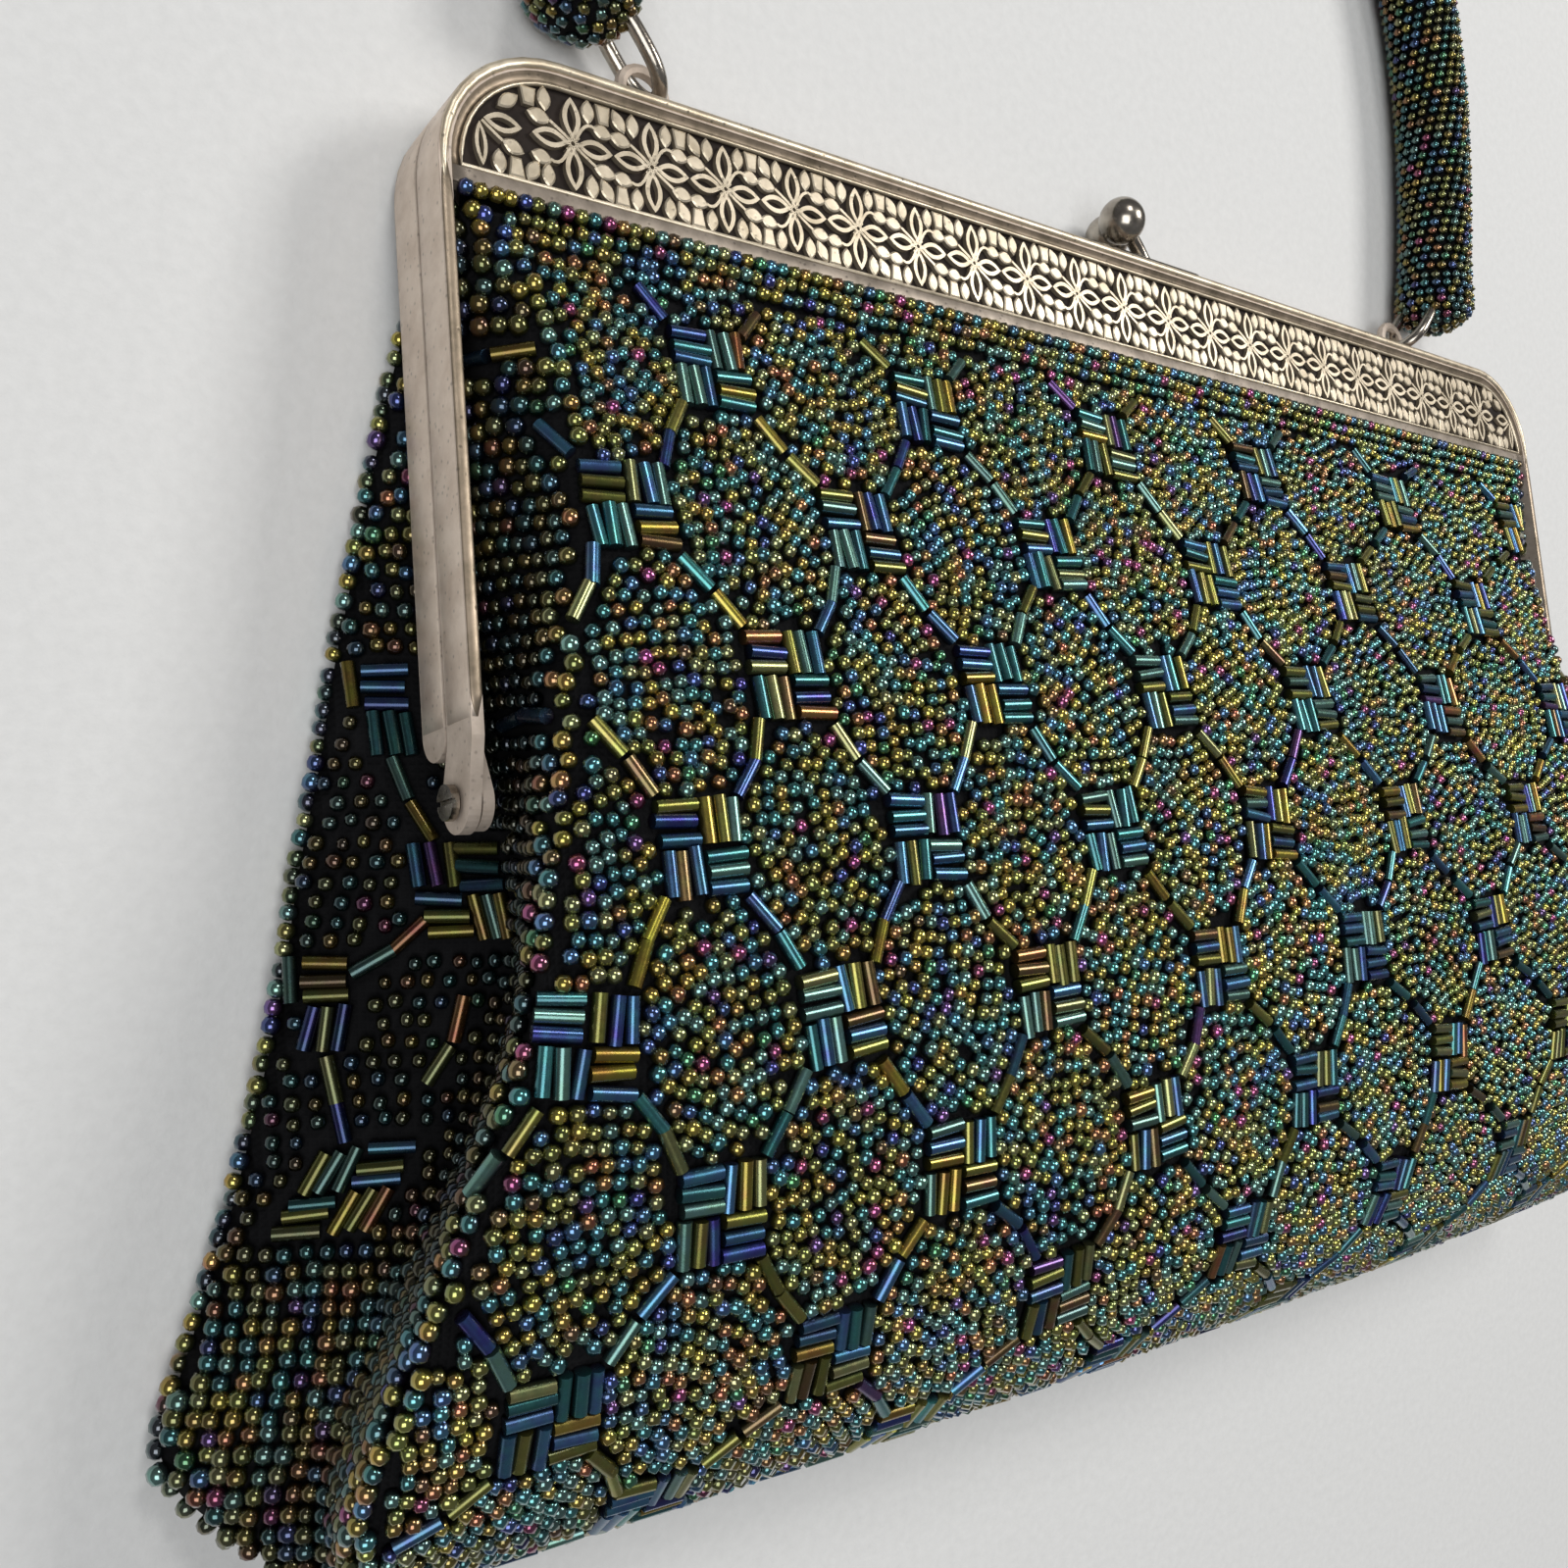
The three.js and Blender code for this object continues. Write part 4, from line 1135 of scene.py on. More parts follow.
handle_points = handle_line(HANDLE_POINTS)
handle_steps = np.linalg.norm(np.diff(handle_points, axis=0), axis=1)
handle_along = np.concatenate([[0], np.cumsum(handle_steps)])
handle_length = float(handle_along[-1])
handle_tangents = unit(np.gradient(handle_points, axis=0))
handle_out = np.cross(handle_tangents, [0, 0, 1.0])
print("handle length", round(handle_length, 1), "mm")

# %% handle core
CORE_RINGS = 240
CORE_SIDES = 20
END_RINGS = 12  # of these, at each end
END_REACH = (8.0, 9.5)  # the end's rings stop at the first length, and the others start at the second
CORE_LEAST = 0.3


def on_handle(along, angle, radius):
    """A point round the handle at a length along it: the middle line + radius (cos out + sin up), with its
    direction from the middle line and the direction along the handle."""
    middle, tangent, out = [
        np.column_stack([np.interp(along, handle_along, column) for column in values.T])
        for values in (handle_points, handle_tangents, handle_out)
    ]
    away = np.cos(angle)[:, None] * unit(out) + np.sin(angle)[:, None] * np.array([0, 0, 1.0])
    return middle + radius[:, None] * away, away, unit(tangent)


def handle_tube():
    """The core: rings of points along the handle, the radius less the bead layer, closed at both ends."""
    end = np.linspace(CORE_INSET, END_REACH[0], END_RINGS)
    tube = np.linspace(END_REACH[1], handle_length - END_REACH[1], CORE_RINGS - 2 * END_RINGS)
    spread = np.concatenate([end, tube, handle_length - end[::-1]])
    width = np.maximum(handle_width(spread, handle_length) - CORE_INSET, CORE_LEAST)
    along = np.repeat(spread, CORE_SIDES)
    angle = np.tile(round_angles(CORE_SIDES), CORE_RINGS)
    points, _, _ = on_handle(along, angle, np.repeat(width, CORE_SIDES))
    return put_mesh("handle_core", points, tube_faces(CORE_RINGS, CORE_SIDES), "beaded_cloth")


handle_core = handle_tube()
handle_core.data.materials.append(bag_cloth.data.materials[0])
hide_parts("handle")
print("handle core", triangles(handle_core), "triangles")

# %% handle beads
WINDING = 1.55  # length along the surface of one turn of the thread
THREAD_STEP = 1.74
BEAD_SINK = 0.8
BEAD_SLANT = 0.25
BEAD_STRAY = 0.06
HANDLE_SEED = (0.8, 0.84)  # half length and radius
HANDLE_SIZES = (0.92, 1.06)
HANDLE_STRENGTH = 0.6
TIP = 0.02  # the winding starts and ends this near to the handle's tips
FINE_STEPS = 60000
fine = np.linspace(TIP, handle_length - TIP, FINE_STEPS)
fine_width = handle_width(fine, handle_length)
rise = np.gradient(fine_width, fine)
surface = np.concatenate([[0], np.cumsum(np.hypot(np.diff(fine), np.diff(fine_width)))])
inner_width = np.maximum(fine_width - BEAD_SINK, 0.05)
climb = np.hypot(2 * np.pi * inner_width / WINDING, 1)
thread = np.concatenate([[0], np.cumsum((climb[1:] + climb[:-1]) / 2 * np.diff(surface))])
bead_thread = np.arange(0.5, thread[-1], THREAD_STEP)
count = len(bead_thread)
bead_along = np.interp(bead_thread, thread, fine)
bead_angle = 2 * np.pi * np.interp(bead_thread, thread, surface) / WINDING
bead_width = np.interp(bead_along, fine, fine_width)
bead_skin, bead_away, bead_tangent = on_handle(bead_along, bead_angle, bead_width)
bead_top = unit(bead_away - np.interp(bead_along, fine, rise)[:, None] * bead_tangent)
bead_centre = bead_skin - BEAD_SINK * bead_top + rng.normal(0, BEAD_STRAY, (count, 3))
bead_axis = unit(np.cross(bead_away, bead_tangent)) + BEAD_SLANT * bead_tangent
bead_size = rng.uniform(*HANDLE_SIZES, count)
handle_beads = scatter("handle_beads", FAR_SEED, bead_centre, bead_axis, bead_top,
                       HANDLE_SEED[0] * bead_size, HANDLE_SEED[1] * bead_size,
                       HANDLE_STRENGTH * handful(count, SEED_SHARES))
handle_beads.data.materials.append(lustre)
print(count, "beads on the handle,", triangles(handle_beads), "triangles")

# %% [markdown]
# ## The flower band on the frame
# The frame's plate is pierced work: flat ivory-coloured outlines and leaves that stand on a dark ground.
# Each motif is a flat outline raised off the ground with its upper edge broken, and the outline is a small
# formula: an almond is two arcs, a stem is a bent line with a width. The motifs are repeated along the plate
# by adding an offset, and the plate's other face gets the same band turned about.

# %% frame coordinates and the ground
TILT = np.radians(8)
LIFT = 13.0
FRAME_HALF = 107.0
FRAME_TOP = 8.2
RIM = 1.3
CORNER = 14.0
HALF_DEPTH = 5.8
GROUND = -0.9
BROKEN_EDGE = 0.12
FLOOR_LINE = -6.05  # lower edge of the flower ground
FLOWER_PITCH = 9.66
FLOWER_COUNT = 20
END_FLOWER = 102.4  # middle of the cut-off flower at each end


def lean(points):
    """From the frame's own axes to the bag's: turned back by the tilt, then lifted."""
    x, y, z = points.T
    return np.column_stack([x, np.cos(TILT) * y + np.sin(TILT) * z,
                            LIFT - np.sin(TILT) * y + np.cos(TILT) * z])


def other_face(points):
    """The same thing on the frame's back: half a turn about the frame's middle height."""
    return points * np.array([-1, 1, -1]) + np.array([0, 0, -2 * HALF_DEPTH])


def arch_line(inset, bottom, count):
    """The frame's arch, an inset within its outside, from the left arm over the top to the right arm: two
    straight sides, and two quarter circles joined by a straight top."""
    half = FRAME_HALF - inset
    top = FRAME_TOP - inset
    radius = CORNER - inset
    turn = np.linspace(0, np.pi / 2, 24)
    corner = np.column_stack([-half + radius - radius * np.cos(turn), top - radius + radius * np.sin(turn)])
    line = np.vstack([[[-half, bottom]], corner, corner[::-1] * [-1, 1], [[half, bottom]]])
    return resample(line, count)


def stacked(rings):
    """Flat outlines set at heights, as an array of rings of points."""
    return np.array([np.column_stack([ring, np.full(len(ring), z)]) for ring, z in rings])


def raised(outline, low, high, edge):
    """A flat outline as a solid: a wall from low to just under high, and a top drawn in by a share of edge
    towards the middle."""
    top = outline + (outline.mean(axis=0) - outline) * edge
    rings = stacked([(outline, low), (outline, high - BROKEN_EDGE), (top, high)])
    return rings.reshape(-1, 3), tube_faces(len(rings), len(outline), flip=True)


UNEVEN_GLOSS = 0.12


def silver_finish(name, pale, dark, rough, pits, metallic):
    """Old silver: a colour that wanders between pale and dark, small dark pits, uneven gloss and dents."""
    material, nodes, links, shader, place = node_material(name)
    wander = noise(nodes, links, place, 260, 5.0, 0.65)
    colour = ramp(nodes, links, wander, [(0.30, dark), (0.62, pale)])
    spots = nodes.new("ShaderNodeTexVoronoi")
    spots.inputs["Scale"].default_value = 900
    links.new(place, spots.inputs["Vector"])
    spot = ramp(nodes, links, spots.outputs["Distance"], [(0.05, 1 - pits), (0.22, 1.0)])
    pitted = nodes.new("ShaderNodeMix")
    pitted.data_type = "RGBA"
    pitted.blend_type = "MULTIPLY"
    pitted.inputs["Factor"].default_value = 1
    links.new(colour, pitted.inputs["A"])
    links.new(spot, pitted.inputs["B"])
    links.new(pitted.outputs["Result"], shader.inputs["Base Color"])
    gloss = noise(nodes, links, place, 700, 4.0)
    uneven = mapped(nodes, links, gloss, rough - UNEVEN_GLOSS, rough + UNEVEN_GLOSS)
    links.new(uneven, shader.inputs["Roughness"])
    bump(nodes, links, spot, shader, 0.35, 0.0001)
    shader.inputs["Metallic"].default_value = metallic
    return material


# name, pale and dark colour, roughness, depth of the pits' colour, metallic share
worn_silver = silver_finish("worn_silver", (0.74, 0.63, 0.53), (0.58, 0.47, 0.38), 0.45, 0.4, 0.75)
ivory_silver = silver_finish("ivory_silver", (0.70, 0.61, 0.47), (0.45, 0.38, 0.27), 0.36, 0.3, 0.8)
rim_silver = silver_finish("rim_silver", (0.72, 0.63, 0.48), (0.46, 0.37, 0.26), 0.38, 0.6, 0.75)
brown_silver = silver_finish("brown_silver", (0.34, 0.27, 0.20), (0.15, 0.12, 0.08), 0.4, 0.5, 0.7)
strip_silver = silver_finish("strip_silver", (0.29, 0.245, 0.20), (0.14, 0.115, 0.09), 0.45, 0.5, 0.6)
dark_ground = silver_finish("dark_ground", (0.030, 0.022, 0.018), (0.012, 0.009, 0.008), 0.7, 0.2, 0.0)
dark_ground.node_tree.nodes["Principled BSDF"].inputs["Specular IOR Level"].default_value = 0.12
arm_silver = silver_finish("arm_silver", (0.60, 0.51, 0.43), (0.44, 0.36, 0.29), 0.62, 0.4, 0.45)
nickel = silver_finish("dark_nickel", (0.46, 0.42, 0.36), (0.22, 0.19, 0.16), 0.24, 0.3, 1.0)


def both_faces(name, points, faces, finish, smooth=False):
    """A piece on the front plate and its twin on the back plate."""
    made = []
    for word, placed in (("front", points), ("back", other_face(points))):
        piece = put_mesh(name + "_" + word, lean(placed), faces, "silver_frame", smooth)
        piece.data.materials.append(finish)
        made.append(piece)
    return made


GROUND_GAP = 0.06
GROUND_RISE = 0.14
ground_outline = arch_line(RIM + GROUND_GAP, FLOOR_LINE, 120)
ground_shape = raised(ground_outline[::-1], GROUND - GROUND_GAP, GROUND + GROUND_RISE, 0.0)
both_faces("flower_ground", *ground_shape, dark_ground)
print("ground outline", len(ground_outline), "points")

# %% flower motifs
LOW = GROUND + 0.08
HIGH = -0.12
BAND_MIDDLE = -0.25  # the flowers' middle line, from the frame's
ALMOND_POINTS = 14
PETAL_POINTS = 20
LEAF_EDGE = 0.22  # share by which a leaf's top is drawn in
PETALS = ((0, 4.25), (90, 4.7), (180, 4.25), (270, 4.7))  # angle and length
STEM_WIDTH = 0.34
# leaves of half a flower: middle, length, width, angle, and the foot, knee and tip of the stem to it
FLOWER_LEAVES = (
    ((-3.75, 2.1), 2.8, 1.75, -10, ((-0.3, 0.3), (-1.4, 1.1), (-2.6, 1.85))),
    ((3.7, 2.35), 2.5, 1.7, -12, ((0.35, 0.35), (1.5, 3.2), (2.75, 2.45))),
)
RAYS = (12, 0.25, 1.15, 0.15)  # count, start and end from the middle, width


def almond(middle, length, width, angle, points=ALMOND_POINTS):
    """A pointed oval: half its width is the sine of its way along, to the power 0.85."""
    t = np.linspace(0, 1, points // 2 + 1)
    half = width / 2 * np.sin(np.pi * t) ** 0.85
    upper = np.column_stack([(t - 0.5) * length, half])
    lower = (upper * [1, -1])[-2:0:-1]
    outline = np.concatenate([upper, lower])[::-1]
    return turned_by(outline, np.radians(angle)) + np.array(middle)


def trapezoid(middle, wide, narrow, height):
    """A short leaf with a straight end: wider at its foot."""
    x = np.array([-wide, wide, narrow, -narrow]) / 2
    y = np.array([1, 1, -1, -1]) * height / 2
    return np.column_stack([x, y])[::-1] + np.array(middle)


def ring_of(outer, inner):
    """A hollow outline as a solid: outer wall, top and inner wall, closed below."""
    rings = stacked([(outer, LOW), (outer, HIGH), (inner, HIGH), (inner, LOW)])
    return rings.reshape(-1, 3), tube_faces(len(rings), len(outer), flip=True, closed=True)


def stem(start, bend_to, end, width, count=7):
    """A thin bar along a quadratic curve, with a flat top and square ends."""
    line = quadratic(np.array(start), np.array(bend_to), np.array(end), count)
    along = unit(np.gradient(line, axis=0))
    square = np.stack([-along[:, 1], along[:, 0]], axis=1) * width / 2
    left, right = line + square, line - square
    edges = stacked([(left, LOW), (left, HIGH), (right, HIGH), (right, LOW)])
    return edges.transpose(1, 0, 2).reshape(-1, 3), tube_faces(count, len(edges))


def petal(angle, length, width=2.15, hollow=1.05):
    """A hollow almond that points away from the flower's middle."""
    reach = turned_by(np.array([0.5 + length / 2, 0]), np.radians(angle))
    outer = almond(reach, length, width, angle, PETAL_POINTS)
    return ring_of(outer, almond(reach, length - 1.35, hollow, angle, PETAL_POINTS))


def leaf(middle, length, width, angle):
    """A solid almond with its upper edge broken."""
    return raised(almond(middle, length, width, angle), LOW, HIGH, LEAF_EDGE)


def flower():
    """One flower: four hollow petals, a leaf between each two, and rays in the middle."""
    shapes = [petal(angle, length) for angle, length in PETALS]
    for turn in (0, 180):
        spin = np.radians(turn)
        for middle, length, width, angle, line in FLOWER_LEAVES:
            shapes.append(leaf(turned_by(np.array(middle), spin), length, width, angle + turn))
            shapes.append(stem(*turned_by(np.array(line), spin), STEM_WIDTH))
    count, inner, outer, width = RAYS
    for ray in round_angles(count, 0.5):
        start, end = turned_by(np.array([[inner, 0], [outer, 0]]), ray)
        shapes.append(stem(start, (start + end) / 2, end, width, 2))
    return shapes


def border_row():
    """Four short leaves that hang side by side from the upper border."""
    outlines = [
        almond((-2.75, 4.2), 2.8, 1.6, 88),
        trapezoid((-0.88, 4.35), 1.85, 1.2, 2.2),
        almond((0.98, 4.2), 2.8, 1.6, -62),
        almond((2.75, 4.2), 2.8, 1.6, 92),
    ]
    return [raised(outline, LOW, HIGH, LEAF_EDGE) for outline in outlines]


HALF_TURN = np.array([-1, -1, 1])


def edge_leaves():
    """The short leaves between two flowers: a row from the upper border and one from the lower."""
    points, faces = gather(border_row())
    shift = np.array([FLOWER_PITCH / 2, 0, 0])
    return [(points + shift, faces), (points * HALF_TURN + shift, faces)]


def end_motif():
    """What is left of one more flower at the right end: a petal that points inwards, one that points down,
    a leaf on a stem, the lower border's leaves, and three leaves under the rounded corner."""
    shapes = [petal(180, 4.25), petal(268, 4.7, 1.35, 0.55)]
    shapes.append(leaf((-3.7, -2.2), 2.6, 1.7, 20))
    shapes.append(stem((-0.3, -0.3), (-1.4, -1.2), (-2.5, -1.95), STEM_WIDTH))
    points, faces = gather(border_row())
    shapes.append((points * HALF_TURN + np.array([-FLOWER_PITCH / 2, 0, 0]), faces))
    shapes.append(leaf((-7.58, 4.2), 2.8, 1.6, 88))
    shapes.append(raised(trapezoid((-5.75, 3.95), 1.85, 1.2, 2.0), LOW, HIGH, LEAF_EDGE))
    shapes.append(leaf((-3.4, 2.75), 3.0, 1.5, -38))
    return shapes


def repeated(shape, offsets):
    """A shape copied to several offsets along x."""
    points, faces = shape
    shift = np.column_stack([offsets, np.zeros(len(offsets)), np.zeros(len(offsets))])
    every = copied_faces(faces, len(offsets), len(points))
    return (points[None] + shift[:, None]).reshape(-1, 3), every


flower_x = (np.arange(FLOWER_COUNT) - (FLOWER_COUNT - 1) / 2) * FLOWER_PITCH
end_points, end_faces = gather(end_motif())
end_points = end_points + np.array([END_FLOWER, 0, 0])
left_end = end_points * MIRROR, [rows[:, ::-1] for rows in end_faces]
band_points, band_faces = gather([
    repeated(gather(flower()), flower_x),
    repeated(gather(edge_leaves()), flower_x[:-1]),
    (end_points, end_faces),
    left_end,
])
band_points = band_points + np.array([0, BAND_MIDDLE, 0])
relief = both_faces("flower_relief", band_points, band_faces, ivory_silver)
print("relief", triangles(relief[0]), "triangles a face")

# %% [markdown]
# ## The rim and its facings
# A rounded roll runs along the front edge of the frame over the top and fades out where the arms begin. The
# arms have a flat brown edge instead, and their outer faces are flat with softened edges. Closed profiles
# carried along the arch give them. They stand a hair proud of the CAD solid, whose square edges they cover.
# Inside the roll a brown hollow leads down to a second, thin roll that borders the flower band, and a plain
# worn strip lies below the band.

# %% profiles along a path
def heading_along(path, closed):
    """The direction of a path at each of its points, from the points before and after."""
    if closed:
        return unit(np.roll(path, -1, axis=0) - np.roll(path, 1, axis=0))
    return unit(np.gradient(path, axis=0))


def carried(path, profile, closed):
    """A profile in (inwards, z) carried along a flat path: at each point the inward direction is square to
    the path. The profile may differ from point to point."""
    along = heading_along(path, closed)
    inwards = np.stack([along[:, 1], -along[:, 0]], axis=1)
    profile = np.broadcast_to(profile, (len(path), *profile.shape[-2:]))
    flat = path[:, None] + inwards[:, None] * profile[..., :1]
    points = np.concatenate([flat, profile[..., 1:]], axis=-1)
    return points.reshape(-1, 3), tube_faces(*profile.shape[:2], closed=closed)


def oval(width, height, z, over=0.0):
    """A closed outline of ten points: an ellipse in (inwards, z) round a middle."""
    turn = round_angles(10)
    return np.column_stack([width * np.cos(turn) + over, height * np.sin(turn) + z])


def rounded_box(low, high, radius, per_corner=4):
    """A closed outline: a box between two corners with round corners, in (inwards, z)."""
    turn = np.linspace(0, np.pi / 2, per_corner)
    quarter = radius * np.column_stack([np.cos(turn), np.sin(turn)])
    corners = [(high[0] - radius, high[1] - radius, 0), (low[0] + radius, high[1] - radius, 90),
               (low[0] + radius, low[1] + radius, 180), (high[0] - radius, low[1] + radius, 270)]
    return np.concatenate([turned_by(quarter, np.radians(a)) + [x, z] for x, z, a in corners])


def along_frame(name, path, profile, finish, closed=False):
    """A profile carried along a path on both faces of the frame."""
    return both_faces(name, *carried(path, profile, closed), finish, smooth=True)


print("box outline", len(rounded_box((0, 0), (1, 1), 0.2)), "points, oval", len(oval(1, 1, 0)))

# %% rim, border and strip
ARM_FOOT = -61.5
ARM_START = -9.0  # the arms begin here, below the roll
ARM_FADE = 4.0  # their brown edge reaches this far up beside the roll
RIM_POINTS = 160
PROUD = 0.06  # height of the facing over the CAD solid
FACING_BOX = ((-PROUD, -5.6), (0.9, PROUD), 0.4)  # low corner, high corner, rounding
STRIP_BOX = ((-0.9, -0.6), (0.9, -0.16), 0.2)
ROLL_INSET = 0.5
ROLL_OVAL = (0.56, 0.36, 0.04)  # half width, half height, z
ROLL_FADE = ((ARM_START, -2), (0.2, 1.0))  # y, and how full the roll is there
ARM_OVAL = (0.62, 0.14, 0.04, 0.16)  # the last is how far inwards its middle lies
ARM_TAPER = ((ARM_FOOT, -60, ARM_START, ARM_START + ARM_FADE), (0.3, 1, 1, 0.2))
BORDER_INSET = 2.5
BORDER_OVAL = (0.24, 0.3, GROUND + 0.5)
STRIP_MIDDLE = (FLOOR_LINE - 7.85) / 2
STRIP_REACH = 105.6
STRIP_POINTS = 80
COVE = ((0.95, -0.85), (2.3, -0.85), (2.3, -0.58), (1.9, -0.5), (1.5, -0.3), (1.2, -0.06), (0.95, 0.02))
facing_path = arch_line(0, ARM_FOOT, RIM_POINTS)
facings = along_frame("frame_facing", facing_path, rounded_box(*FACING_BOX), worn_silver)

roll_path = arch_line(ROLL_INSET, ARM_FOOT, RIM_POINTS)
top_path = roll_path[roll_path[:, 1] > ARM_START]
fullness = np.interp(top_path[:, 1], *ROLL_FADE)[:, None, None]
rolls = along_frame("rolled_rim", top_path, oval(*ROLL_OVAL)[None] * fullness, rim_silver)

arm_shapes = []
for on_arm in (roll_path[:, 0] < 0, roll_path[:, 0] > 0):
    arm_path = roll_path[on_arm & (roll_path[:, 1] < ARM_START + ARM_FADE)]
    taper = np.interp(arm_path[:, 1], *ARM_TAPER)[:, None, None]
    arm_shapes.append(carried(arm_path, oval(*ARM_OVAL)[None] * taper, False))
both_faces("arm_edge", *gather(arm_shapes), brown_silver, smooth=True)

along_frame("rim_hollow", arch_line(0, FLOOR_LINE, 140), np.array(COVE), brown_silver)
border_path = arch_line(BORDER_INSET, FLOOR_LINE + 0.2, RIM_POINTS)
borders = along_frame("flower_border", border_path, oval(*BORDER_OVAL), ivory_silver, closed=True)
strip_x = np.linspace(-STRIP_REACH, STRIP_REACH, STRIP_POINTS)
strip_path = np.column_stack([strip_x, np.full(STRIP_POINTS, STRIP_MIDDLE)])
along_frame("plain_strip", strip_path, rounded_box(*STRIP_BOX), strip_silver)
print("rim", triangles(rolls[0]), "facing", triangles(facings[0]), "border", triangles(borders[0]))

# %% [markdown]
# ## Clasp balls, links and screws
# The two balls of the kiss clasp and the wire links are turned and drawn metal, so they are made again as
# smooth surfaces: a sphere in two angles, and round wire carried along a path. The hinge screws and the
# frame's own solids keep their CAD shape and get a worn metal.

# %% clasp and links
PLATE_END = (11.1, 1.9)  # the clasp plate: from its middle to a round end's, and that end's radius
PLATE_SHIFT = 3.0  # each plate lies this far to its own side
PLATE_Y = (8.5, 9.4)
STEM_FOOT = (4.4, 8.95)  # x and y
STEM_KNEE = (4.2, 10.8)
STEM_RADIUS = ((0, 0.25, 1), (1.55, 1.1, 1.0))  # way along, and the radius there
BALL_RADIUS = 3.3
POLE = 0.05  # angle left for the small face at a pole
LINK_LEAN = np.radians(38.5)
LINK_MIDDLE = (81.05, 15.5, 6.0)
LINK_REACH = (4.6, 1.2, 6.0)  # half length of the ring's oval, what its long sides add, how square they end
LINK_WIDTH = 3.0
LINK_WIRE = 0.92
LINK_POINTS = 72


def ball(centre, radius, rows=20, sides=32):
    """A sphere in two angles, closed by a small face at each pole."""
    polar = np.linspace(POLE, np.pi - POLE, rows)
    p, a = np.meshgrid(polar, round_angles(sides), indexing="ij")
    points = np.stack([np.sin(p) * np.cos(a), np.sin(p) * np.sin(a), np.cos(p)], axis=-1).reshape(-1, 3)
    return points * radius + centre, tube_faces(rows, sides)


def round_wire(path, radius, normal, closed, sides=14):
    """A circle carried along a path that lies in one plane, or nearly."""
    along = heading_along(path, closed)
    side = unit(np.cross(along, normal))
    up = np.cross(side, along)
    angle = round_angles(sides)
    ring = np.cos(angle)[None, :, None] * side[:, None] + np.sin(angle)[None, :, None] * up[:, None]
    radius = np.broadcast_to(radius, len(path))[:, None, None]
    return (path[:, None] + radius * ring).reshape(-1, 3), tube_faces(len(path), sides, True, closed)


def clasp_half(side, plate_z, ball_centre):
    """A base plate with round ends, a bent stem that thins towards the ball, and the ball."""
    angle = np.linspace(-np.pi / 2, np.pi / 2, 12)
    end = PLATE_END[1] * np.column_stack([np.cos(angle), np.sin(angle)]) + [PLATE_END[0], 0]
    outline = np.concatenate([end, -end]) + [side * PLATE_SHIFT, 0]
    flat, faces = raised(outline, *PLATE_Y, 0.06)
    plate = np.column_stack([flat[:, 0], flat[:, 2], plate_z - flat[:, 1]])
    foot, knee = [np.array([side * x, y, plate_z]) for x, y in (STEM_FOOT, STEM_KNEE)]
    path = quadratic(foot, knee, ball_centre, 16)
    width = np.interp(np.linspace(0, 1, 16), *STEM_RADIUS)
    bent_stem = round_wire(path, width, [0, 0, 1.0], False)
    return gather([(plate, faces), bent_stem, ball(ball_centre, BALL_RADIUS)])


def nickel_piece(name, shape, node, tilted):
    """A smooth metal piece in place of a CAD node."""
    points, faces = shape
    piece = put_mesh(name, lean(points) if tilted else points, faces, "nickel_fittings")
    piece.data.materials.append(nickel)
    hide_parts(node)
    return piece


def link_shape(side):
    """A wire ring drawn out lengthwise, leaning outwards from the frame's loop to the handle's end."""
    along = np.array([side * np.sin(LINK_LEAN), np.cos(LINK_LEAN), 0])
    angle = round_angles(LINK_POINTS, 0.5)
    half, drawn, squareness = LINK_REACH
    reach = half * np.cos(angle) + drawn * np.tanh(squareness * np.cos(angle))
    path = np.array(LINK_MIDDLE) * [side, 1, 1] + reach[:, None] * along
    path = path + (LINK_WIDTH * np.sin(angle))[:, None] * np.array([0, 0, 1.0])
    return round_wire(path, LINK_WIRE, np.cross(along, [0, 0, 1.0]), True)


claspers = [
    nickel_piece("clasp_ball_front", clasp_half(1, -2.9, np.array([-1.5, 14, -1.4])), "clasp_front", True),
    nickel_piece("clasp_ball_back", clasp_half(-1, -8.7, np.array([2.2, 15, -7.2])), "clasp_back", True),
]
wires = [nickel_piece("wire_link_" + word, link_shape(side), "link_" + word, False)
         for word, side in (("left", -1), ("right", 1))]
for node, finish in (("frame_front", arm_silver), ("frame_back", arm_silver),
                     ("hinge_screw_left", nickel), ("hinge_screw_right", nickel)):
    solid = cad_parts[node]
    solid.data.materials.clear()
    solid.data.materials.append(finish)
print("clasp", [triangles(piece) for piece in claspers], "links", [triangles(piece) for piece in wires])

# %% [markdown]
# ## Floor and light
# The bag lies on a white sheet under soft room light: a small window from the right and above, a smaller
# one from beyond the handle, a broad ceiling light from the left, and a dim room all round, so that the
# lustre beads get small highlights and keep dark parts.

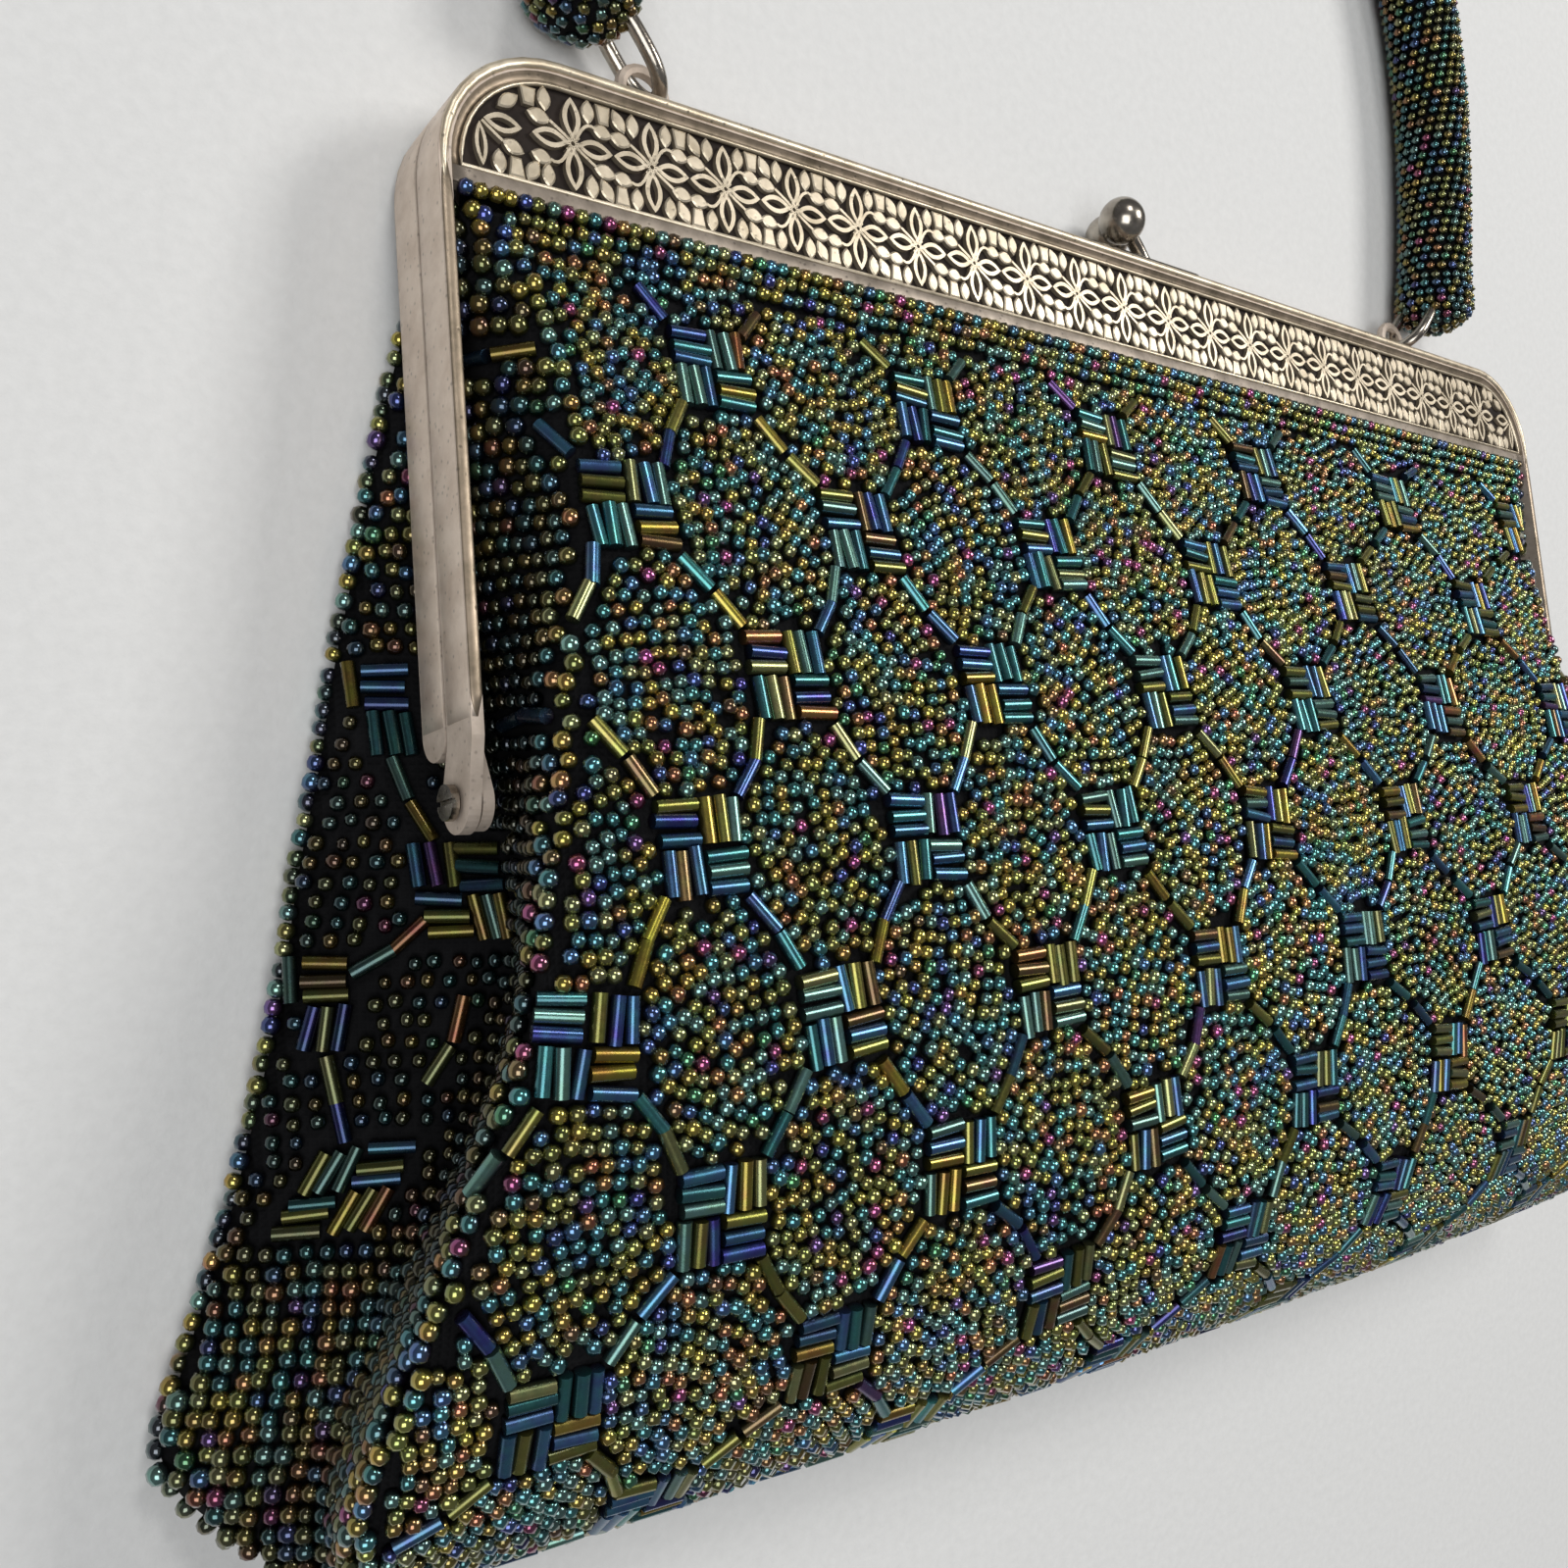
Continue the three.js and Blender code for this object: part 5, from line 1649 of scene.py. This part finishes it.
# %% floor, lights and world
def floor_finish():
    """Matt white with a faint grain."""
    material, nodes, links, shader, place = node_material("white_surface")
    grain = noise(nodes, links, place, 700, 3.0)
    colour = ramp(nodes, links, grain, [(0.3, (0.67, 0.67, 0.66)), (0.7, (0.71, 0.71, 0.70))])
    links.new(colour, shader.inputs["Base Color"])
    bump(nodes, links, grain, shader, 0.3, 0.0003)
    shader.inputs["Roughness"].default_value = 0.7
    return material


AHEAD_OF_BAG = (0.0, 1.0, 0.01)  # a light's right side is square to this
FLOOR_HALF = 1500.0
ROOM_COLOUR = (0.95, 0.96, 1.0, 1)
ROOM_STRENGTH = 0.16


def soft_light(name, place, target, size, watts, colour):
    """A square area light at a place, turned to look at a target."""
    light = bpy.data.lights.new(name, "AREA")
    light.size = size
    light.energy = watts
    light.color = colour
    back = unit(np.array(place, float) - np.array(target, float))
    set_up(name, light, place, unit(np.cross(AHEAD_OF_BAG, back)), back)


floor_points = FLOOR_HALF * np.array([[-1, -1, 0], [1, -1, 0], [1, 1, 0], [-1, 1, 0]])
floor_mesh = bpy.data.meshes.new("white_surface")
floor_mesh.from_pydata((floor_points * MM).tolist(), [], [(0, 1, 2, 3)])
floor = bpy.data.objects.new("white_surface", floor_mesh)
bpy.context.scene.collection.objects.link(floor)
floor_mesh.materials.append(floor_finish())

# name, place and target in metres, size, watts, colour
soft_light("window_right", (0.95, 0.50, 1.12), (0, -0.02, 0), 0.50, 11.2, (1.0, 0.98, 0.95))
soft_light("window_far", (-0.10, 1.00, 1.20), (0, -0.02, 0), 0.36, 5.0, (1.0, 0.99, 0.97))
soft_light("ceiling_left", (-0.90, -0.40, 1.60), (-0.2, -0.05, 0), 1.2, 18.6, (0.98, 0.99, 1.0))
room = bpy.data.worlds.new("room")
room.use_nodes = True
background = room.node_tree.nodes["Background"]
background.inputs["Color"].default_value = ROOM_COLOUR
background.inputs["Strength"].default_value = ROOM_STRENGTH
bpy.context.scene.view_settings.view_transform = "Standard"
bpy.context.scene.world = room
print("floor", 2 * FLOOR_HALF * MM, "m wide,", len(bpy.data.lights), "lights")
